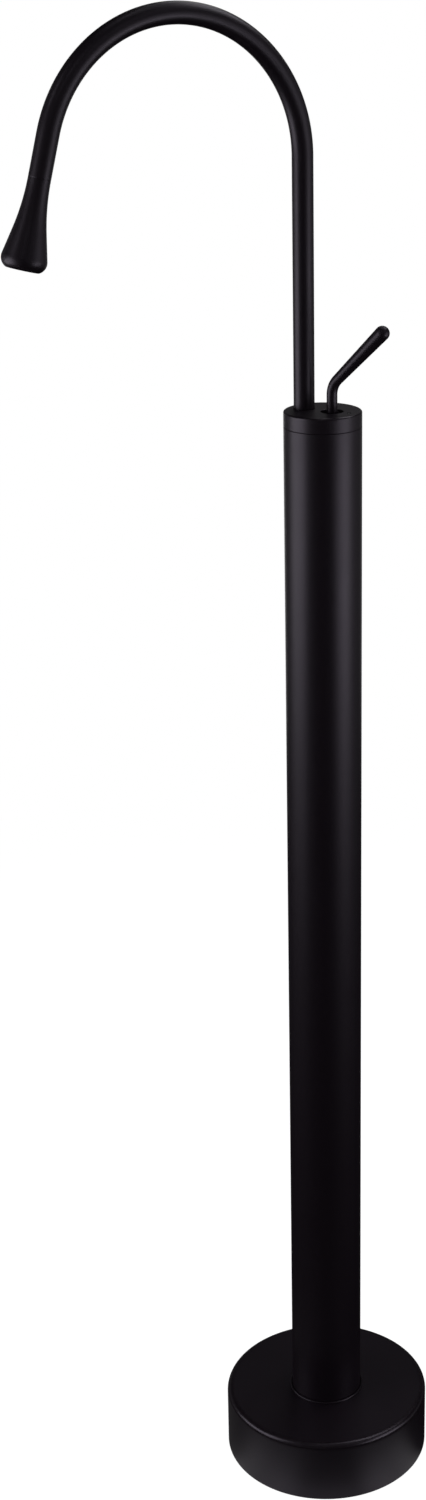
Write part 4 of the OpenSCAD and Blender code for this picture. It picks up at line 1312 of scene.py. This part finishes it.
@dataclass
class SupplyNuts:
    """The union nuts of the cold and the hot hose."""

    flats: float = 20.0
    bottom: float = 2.0
    height: float = 18.0
    bore: float = 7.5
    relief: float = 7.8
    neck: float = 5.4
    thread_top: float = 13.0
    relief_top: float = 17.1
    hose_y: float = 11.5
    face: float = 0.3
    chamfer: float = 1.0

    def nut(self, name: str, side: float) -> bpy.types.Object:
        """One nut: a hexagon with chamfered corners over a stepped bore.

        Its outline is that of the turned blank, and each point is then held within the hexagon.

        Args:
            name: Name of the piece.
            side: 1 for the cold hose's side and -1 for the hot one's.

        Returns:
            The piece.
        """
        top = self.bottom + self.height
        corner = self.flats / 2.0 / math.cos(math.pi / 6.0) + 0.1
        face = self.flats / 2.0 - self.face
        outline = rounded([
            (self.bore, self.bottom, 0.3), (face, self.bottom, 0.1),
            (corner, self.bottom + self.chamfer, 0.1), (corner, top - self.chamfer, 0.1),
            (face, top, 0.1), (self.neck, top, 0.2), (self.neck, self.relief_top, 0.1),
            (self.relief, self.relief_top, 0.1), (self.relief, self.thread_top, 0.1),
            (self.bore, self.thread_top, 0.1),
        ])
        blank = carry(outline, BentPath(y=side * self.hose_y), 144, flats=self.flats)
        return solid(name, [turned(blank)])

    def build(self, shop: Workshop) -> None:
        """Makes and places the pieces."""
        shop.place(self.nut("cold_union_nut", 1.0), Body.COLUMN, Slot.NICKEL, "cold_supply_nut")
        shop.place(self.nut("hot_union_nut", -1.0), Body.COLUMN, Slot.NICKEL, "hot_supply_nut")


# Camera and studio


@dataclass(frozen=True)
class PhotoCamera:
    """The camera of the reference picture, found from the column, the cap and the drum.

    Attributes:
        frame_px: Width and height of the picture.
        focal_px: Focal length in the picture's pixels.
        centre_px: Where the lens looks straight ahead.
        distance: Distance of the camera from the column's axis, along the floor.
        height: Height of the camera.
        bearing: Direction from the column to the camera, in degrees from +X.
        yaw: How far the camera looks to the right of the column, in degrees.
        pitch: How far it looks down.
        roll: How far it leans to the left.
    """

    frame_px: tuple[float, float] = (426.0, 1500.0)
    focal_px: float = 2242.81
    centre_px: tuple[float, float] = (339.07, 689.20)
    distance: float = 1671.64
    height: float = 1294.80
    bearing: float = -121.70
    yaw: float = 0.414
    pitch: float = 19.40
    roll: float = -0.083

    def build(self) -> None:
        """Makes the camera and hands it to the scene."""
        width, height = self.frame_px
        data = bpy.data.cameras.new("photo_camera")
        data.sensor_fit = "AUTO"
        data.sensor_width = 36.0
        data.lens = self.focal_px / height * data.sensor_width
        data.shift_x = (width / 2.0 - self.centre_px[0]) / height
        data.shift_y = (self.centre_px[1] - height / 2.0) / height
        data.clip_start, data.clip_end = 0.05, 50.0
        camera = bpy.data.objects.new("photo_camera", data)
        bearing = math.radians(self.bearing)
        camera.location = Vector((math.cos(bearing), math.sin(bearing), 0.0)) * self.distance * MM
        camera.location.z = self.height * MM
        heading = bearing + math.pi - math.radians(self.yaw)
        turn = Matrix.Rotation(heading - math.pi / 2.0, 4, "Z")
        tilt = Matrix.Rotation(math.pi / 2.0 - math.radians(self.pitch), 4, "X")
        lean = Matrix.Rotation(math.radians(self.roll), 4, "Z")
        camera.matrix_world = Matrix.Translation(camera.location) @ turn @ tilt @ lean
        bpy.context.scene.collection.objects.link(camera)
        bpy.context.scene.camera = camera


@dataclass(frozen=True)
class Panel:
    """A rectangular lamp that faces the column's axis.

    Attributes:
        name: Name of the lamp.
        bearing: Direction from the column to the lamp, in degrees from +X.
        distance: Distance from the column's axis.
        height: Height of its middle.
        width: Width of its face.
        tall: Height of its face.
        radiance: Brightness of its face, where 1 is white.
        aim: Height on the axis that it faces. Without one it stands upright.
    """

    name: str
    bearing: float
    distance: float
    height: float
    width: float
    tall: float
    radiance: float
    aim: float | None = None

    def build(self) -> None:
        """Makes the lamp: its power is radiance times pi times its area."""
        data = bpy.data.lights.new(self.name, "AREA")
        data.shape = "RECTANGLE"
        data.size = self.width * MM
        data.size_y = self.tall * MM
        data.energy = self.radiance * math.pi * data.size * data.size_y
        lamp = bpy.data.objects.new(self.name, data)
        bearing = math.radians(self.bearing)
        aim = self.height if self.aim is None else self.aim
        across = (math.cos(bearing) * self.distance, math.sin(bearing) * self.distance)
        away = Vector((*across, self.height - aim))
        turn = away.to_track_quat("Z", "Y").to_matrix().to_4x4()
        lamp.matrix_world = Matrix.Translation((away + Vector((0.0, 0.0, aim))) * MM) @ turn
        lamp.visible_camera = False
        bpy.context.scene.collection.objects.link(lamp)


@dataclass(frozen=True)
class Studio:
    """A white floor and background, a dim room round them and the panels that light the mixer.

    Attributes:
        room: Brightness of the room in reflections.
        fill: Brightness of the room as soft light.
        lobes: Bearing, height, reach in degrees and brightness of what shows in the room's reflections.
        floor_r: Radius of the floor.
        floor_z: Height of the floor, just below the mixer's foot.
        floor_rings: Rows of the floor's points.
        floor_columns: Points of each row.
        shade: How much of the light that falls near the mixer the floor gives back, for its shadow.
        paper: What the floor gives by itself near the mixer.
        glows: Bearing, spread in degrees, distances at which it is full and has gone, and brightness of
            what the floor sends up beside the drum.
        shadow_r: Distances at which the floor starts to fade into the background and is one with it.
        panels: The lamps.
    """

    room: float = 0.003
    fill: float = 0.12
    lobes: tuple[tuple[float, float, float, float], ...] = (
        (195.0, -3.0, 25.0, 0.077), (345.0, -3.0, 25.0, 0.23), (300.0, 5.0, 40.0, 0.068),
        (180.0, 30.0, 35.0, 0.02), (225.0, 15.0, 35.0, 0.059), (0.0, 90.0, 35.0, 0.04),
        (60.0, 5.0, 35.0, 0.084), (100.0, -15.0, 25.0, 0.056), (15.0, -17.0, 20.0, 0.075),
        (270.0, 10.0, 25.0, 0.037), (130.0, 0.0, 30.0, 0.067), (75.0, -15.0, 14.0, 1.0),
        (40.0, -15.0, 14.0, 0.38), (100.0, 10.0, 25.0, 0.092), (20.0, 10.0, 25.0, 0.053),
        (150.0, 30.0, 30.0, 0.047),
    )
    floor_r: float = 1800.0
    floor_z: float = -0.2
    floor_rings: int = 10
    floor_columns: int = 96
    shade: float = 0.35
    paper: float = 0.95
    glows: tuple[tuple[float, float, float, float, float], ...] = (
        (195.0, 30.0, 115.0, 150.0, 0.24), (240.0, 50.0, 95.0, 120.0, 0.26),
        (285.0, 30.0, 115.0, 150.0, 0.39), (195.0, 40.0, 140.0, 200.0, 0.1),
        (240.0, 95.0, 130.0, 200.0, 0.07), (150.0, 50.0, 100.0, 300.0, 0.063),
    )
    shadow_r: tuple[float, float] = (500.0, 1500.0)
    panels: tuple[Panel, ...] = (
        Panel("left_box", 160.0, 1250.0, 600.0, 1150.0, 600.0, 2.0),
        Panel("left_core", 160.0, 1250.0, 750.0, 560.0, 400.0, 0.89),
        Panel("left_upper", 172.0, 1250.0, 1100.0, 560.0, 400.0, 1.9),
        Panel("right_box", 301.0, 1250.0, 460.0, 1150.0, 320.0, 1.6),
        Panel("right_core", 302.0, 1250.0, 460.0, 600.0, 320.0, 1.2),
        Panel("right_upper", 308.0, 1250.0, 760.0, 840.0, 320.0, 0.9),
        Panel("right_top", 308.0, 1250.0, 1110.0, 840.0, 380.0, 0.71),
        Panel("sky", 0.0, 1000.0, 2200.0, 600.0, 600.0, 2.3, 1100.0),
        Panel("sky_left", 45.0, 1061.0, 2200.0, 600.0, 600.0, 1.7, 1100.0),
        Panel("sky_right", -45.0, 1061.0, 2200.0, 600.0, 600.0, 0.35, 1100.0),
        Panel("sky_core", 7.1, 806.0, 2400.0, 300.0, 300.0, 2.3, 1100.0),
        Panel("front_left", 233.1, 1500.0, 2300.0, 400.0, 400.0, 0.94, 1100.0),
        Panel("front", 273.6, 1603.0, 2200.0, 400.0, 400.0, 0.76, 1100.0),
        Panel("back_left", 176.4, 1603.0, 2200.0, 400.0, 400.0, 1.8, 1100.0),
        Panel("zenith", 0.0, 0.0, 2600.0, 500.0, 500.0, 0.59, 1100.0),
    )

    def world(self) -> None:
        """The world: white to the camera, and to reflections a dim room with soft patches of light."""
        world = bpy.data.worlds.new("studio")
        world.use_nodes = True
        bpy.context.scene.world = world
        graph = Graph(world.node_tree)
        straight, glossy = self._rays(graph)
        way = graph.add("ShaderNodeTexCoord").outputs["Generated"]
        seen = self.room
        for bearing, height, reach, glow in self.lobes:
            near = self._facing(graph, way, bearing, height)
            patch = graph.ramp(near, math.cos(math.radians(reach)), 1.0, 0.0, glow)
            seen = graph.math("ADD", patch, seen)
        other = graph.ramp(glossy, 0.0, 1.0, self.fill, seen, smooth=False)
        strength = graph.ramp(straight, 0.0, 1.0, other, 1.0, smooth=False)
        graph.wire(world.node_tree.nodes["Background"], {0: (1.0, 1.0, 1.0, 1.0), 1: strength})

    @staticmethod
    def _rays(graph: Graph) -> tuple[Socket, Socket]:
        """Whether a ray comes straight from the camera or through glass, and whether it is mirrored.

        Args:
            graph: Where the nodes go.

        Returns:
            The two answers, each 0 or 1.
        """
        light = graph.add("ShaderNodeLightPath").outputs
        straight = graph.math("MAXIMUM", light["Is Camera Ray"], light["Is Transmission Ray"])
        return straight, light["Is Glossy Ray"]

    @staticmethod
    def _facing(graph: Graph, way: Socket, bearing: float, height: float) -> Socket:
        """Cosine of the angle between a direction and a bearing and height in degrees.

        Args:
            graph: Where the nodes go.
            way: The direction, of length 1.
            bearing: Bearing in degrees from +X.
            height: Height above the horizon in degrees.

        Returns:
            The cosine.
        """
        turn, lift = math.radians(bearing), math.radians(height)
        middle = (math.cos(lift) * math.cos(turn), math.cos(lift) * math.sin(turn), math.sin(lift))
        node = graph.add("ShaderNodeVectorMath", {0: way, 1: middle}, operation="DOT_PRODUCT")
        return node.outputs["Value"]

    def floor(self) -> None:
        """The floor: a disc that is white from above, keeps a faint shadow and is clear from below."""
        rings = np.linspace(0.0, self.floor_r, self.floor_rings)
        angle = np.linspace(0.0, 2.0 * np.pi, self.floor_columns, endpoint=False)
        grid = rings[:, None, None] * np.stack([np.cos(angle), np.sin(angle), 0.0 * angle], axis=-1)
        grid[..., 2] = self.floor_z
        floor = solid("studio_floor", [Sheet(grid, np.zeros(grid.shape[:2]), False)])
        if floor.data.polygons[0].normal.z < 0.0:
            floor.data.flip_normals()
        floor.data.materials.append(self._floor_material())
        floor.visible_diffuse = False
        floor.visible_shadow = False

    def _floor_material(self) -> bpy.types.Material:
        """White for the camera, dim with a glow round the drum for reflections.

        Returns:
            The material.
        """
        made = bpy.data.materials.new("studio_floor")
        made.use_nodes = True
        graph = Graph(made.node_tree)
        made.node_tree.nodes.remove(made.node_tree.nodes["Principled BSDF"])
        place = graph.add("ShaderNodeTexCoord").outputs["Object"]
        way = graph.add("ShaderNodeVectorMath", {0: place}, operation="NORMALIZE").outputs[0]
        reach = graph.add("ShaderNodeVectorMath", {0: place}, operation="LENGTH").outputs["Value"]
        glow = self.room
        for bearing, spread, near, far, strength in self.glows:
            near_side = self._facing(graph, way, bearing, 0.0)
            side = graph.ramp(near_side, math.cos(math.radians(spread)), 1.0, 0.0, 1.0)
            ring = graph.ramp(reach, near * MM, far * MM, strength, 0.0)
            glow = graph.math("MULTIPLY_ADD", side, ring, glow)
        straight = self._rays(graph)[0]
        fade = graph.ramp(reach, *(radius * MM for radius in self.shadow_r), 0.0, 1.0)
        shade = graph.mix(fade, (self.shade, self.shade, self.shade, 1.0), (0.0, 0.0, 0.0, 1.0))
        paper = graph.add("ShaderNodeBsdfDiffuse", {"Color": shade})
        own = graph.ramp(fade, 0.0, 1.0, self.paper, 1.0, smooth=False)
        white = graph.add("ShaderNodeEmission", {"Strength": own})
        lit = graph.add("ShaderNodeAddShader", {0: paper.outputs[0], 1: white.outputs[0]})
        mirrored = graph.add("ShaderNodeEmission", {"Strength": glow})
        above = graph.add(
            "ShaderNodeMixShader", {0: straight, 1: mirrored.outputs[0], 2: lit.outputs[0]}
        )
        below = graph.add("ShaderNodeBsdfTransparent")
        back = graph.add("ShaderNodeNewGeometry").outputs["Backfacing"]
        both = graph.add("ShaderNodeMixShader", {0: back, 1: above.outputs[0], 2: below.outputs[0]})
        graph.wire(made.node_tree.nodes["Material Output"], {0: both.outputs[0]})
        return made

    def build(self) -> None:
        """Makes the world, the floor and the lamps."""
        self.world()
        self.floor()
        for lamp in self.panels:
            lamp.build()
        bpy.context.scene.view_settings.view_transform = "Standard"


def main() -> None:
    """Builds the camera, the pieces and the studio round the frame."""
    logging.basicConfig(level=logging.INFO, format="%(name)s: %(message)s")
    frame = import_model()
    PhotoCamera().build()
    shop = Workshop()
    for assembly in (Column(), BaseCover(), Spout(), Lever(), FloorFlange(), SupplyNuts()):
        assembly.build(shop)
    shop.dress(frame)
    Studio().build()


if __name__ == "__main__":
    main()
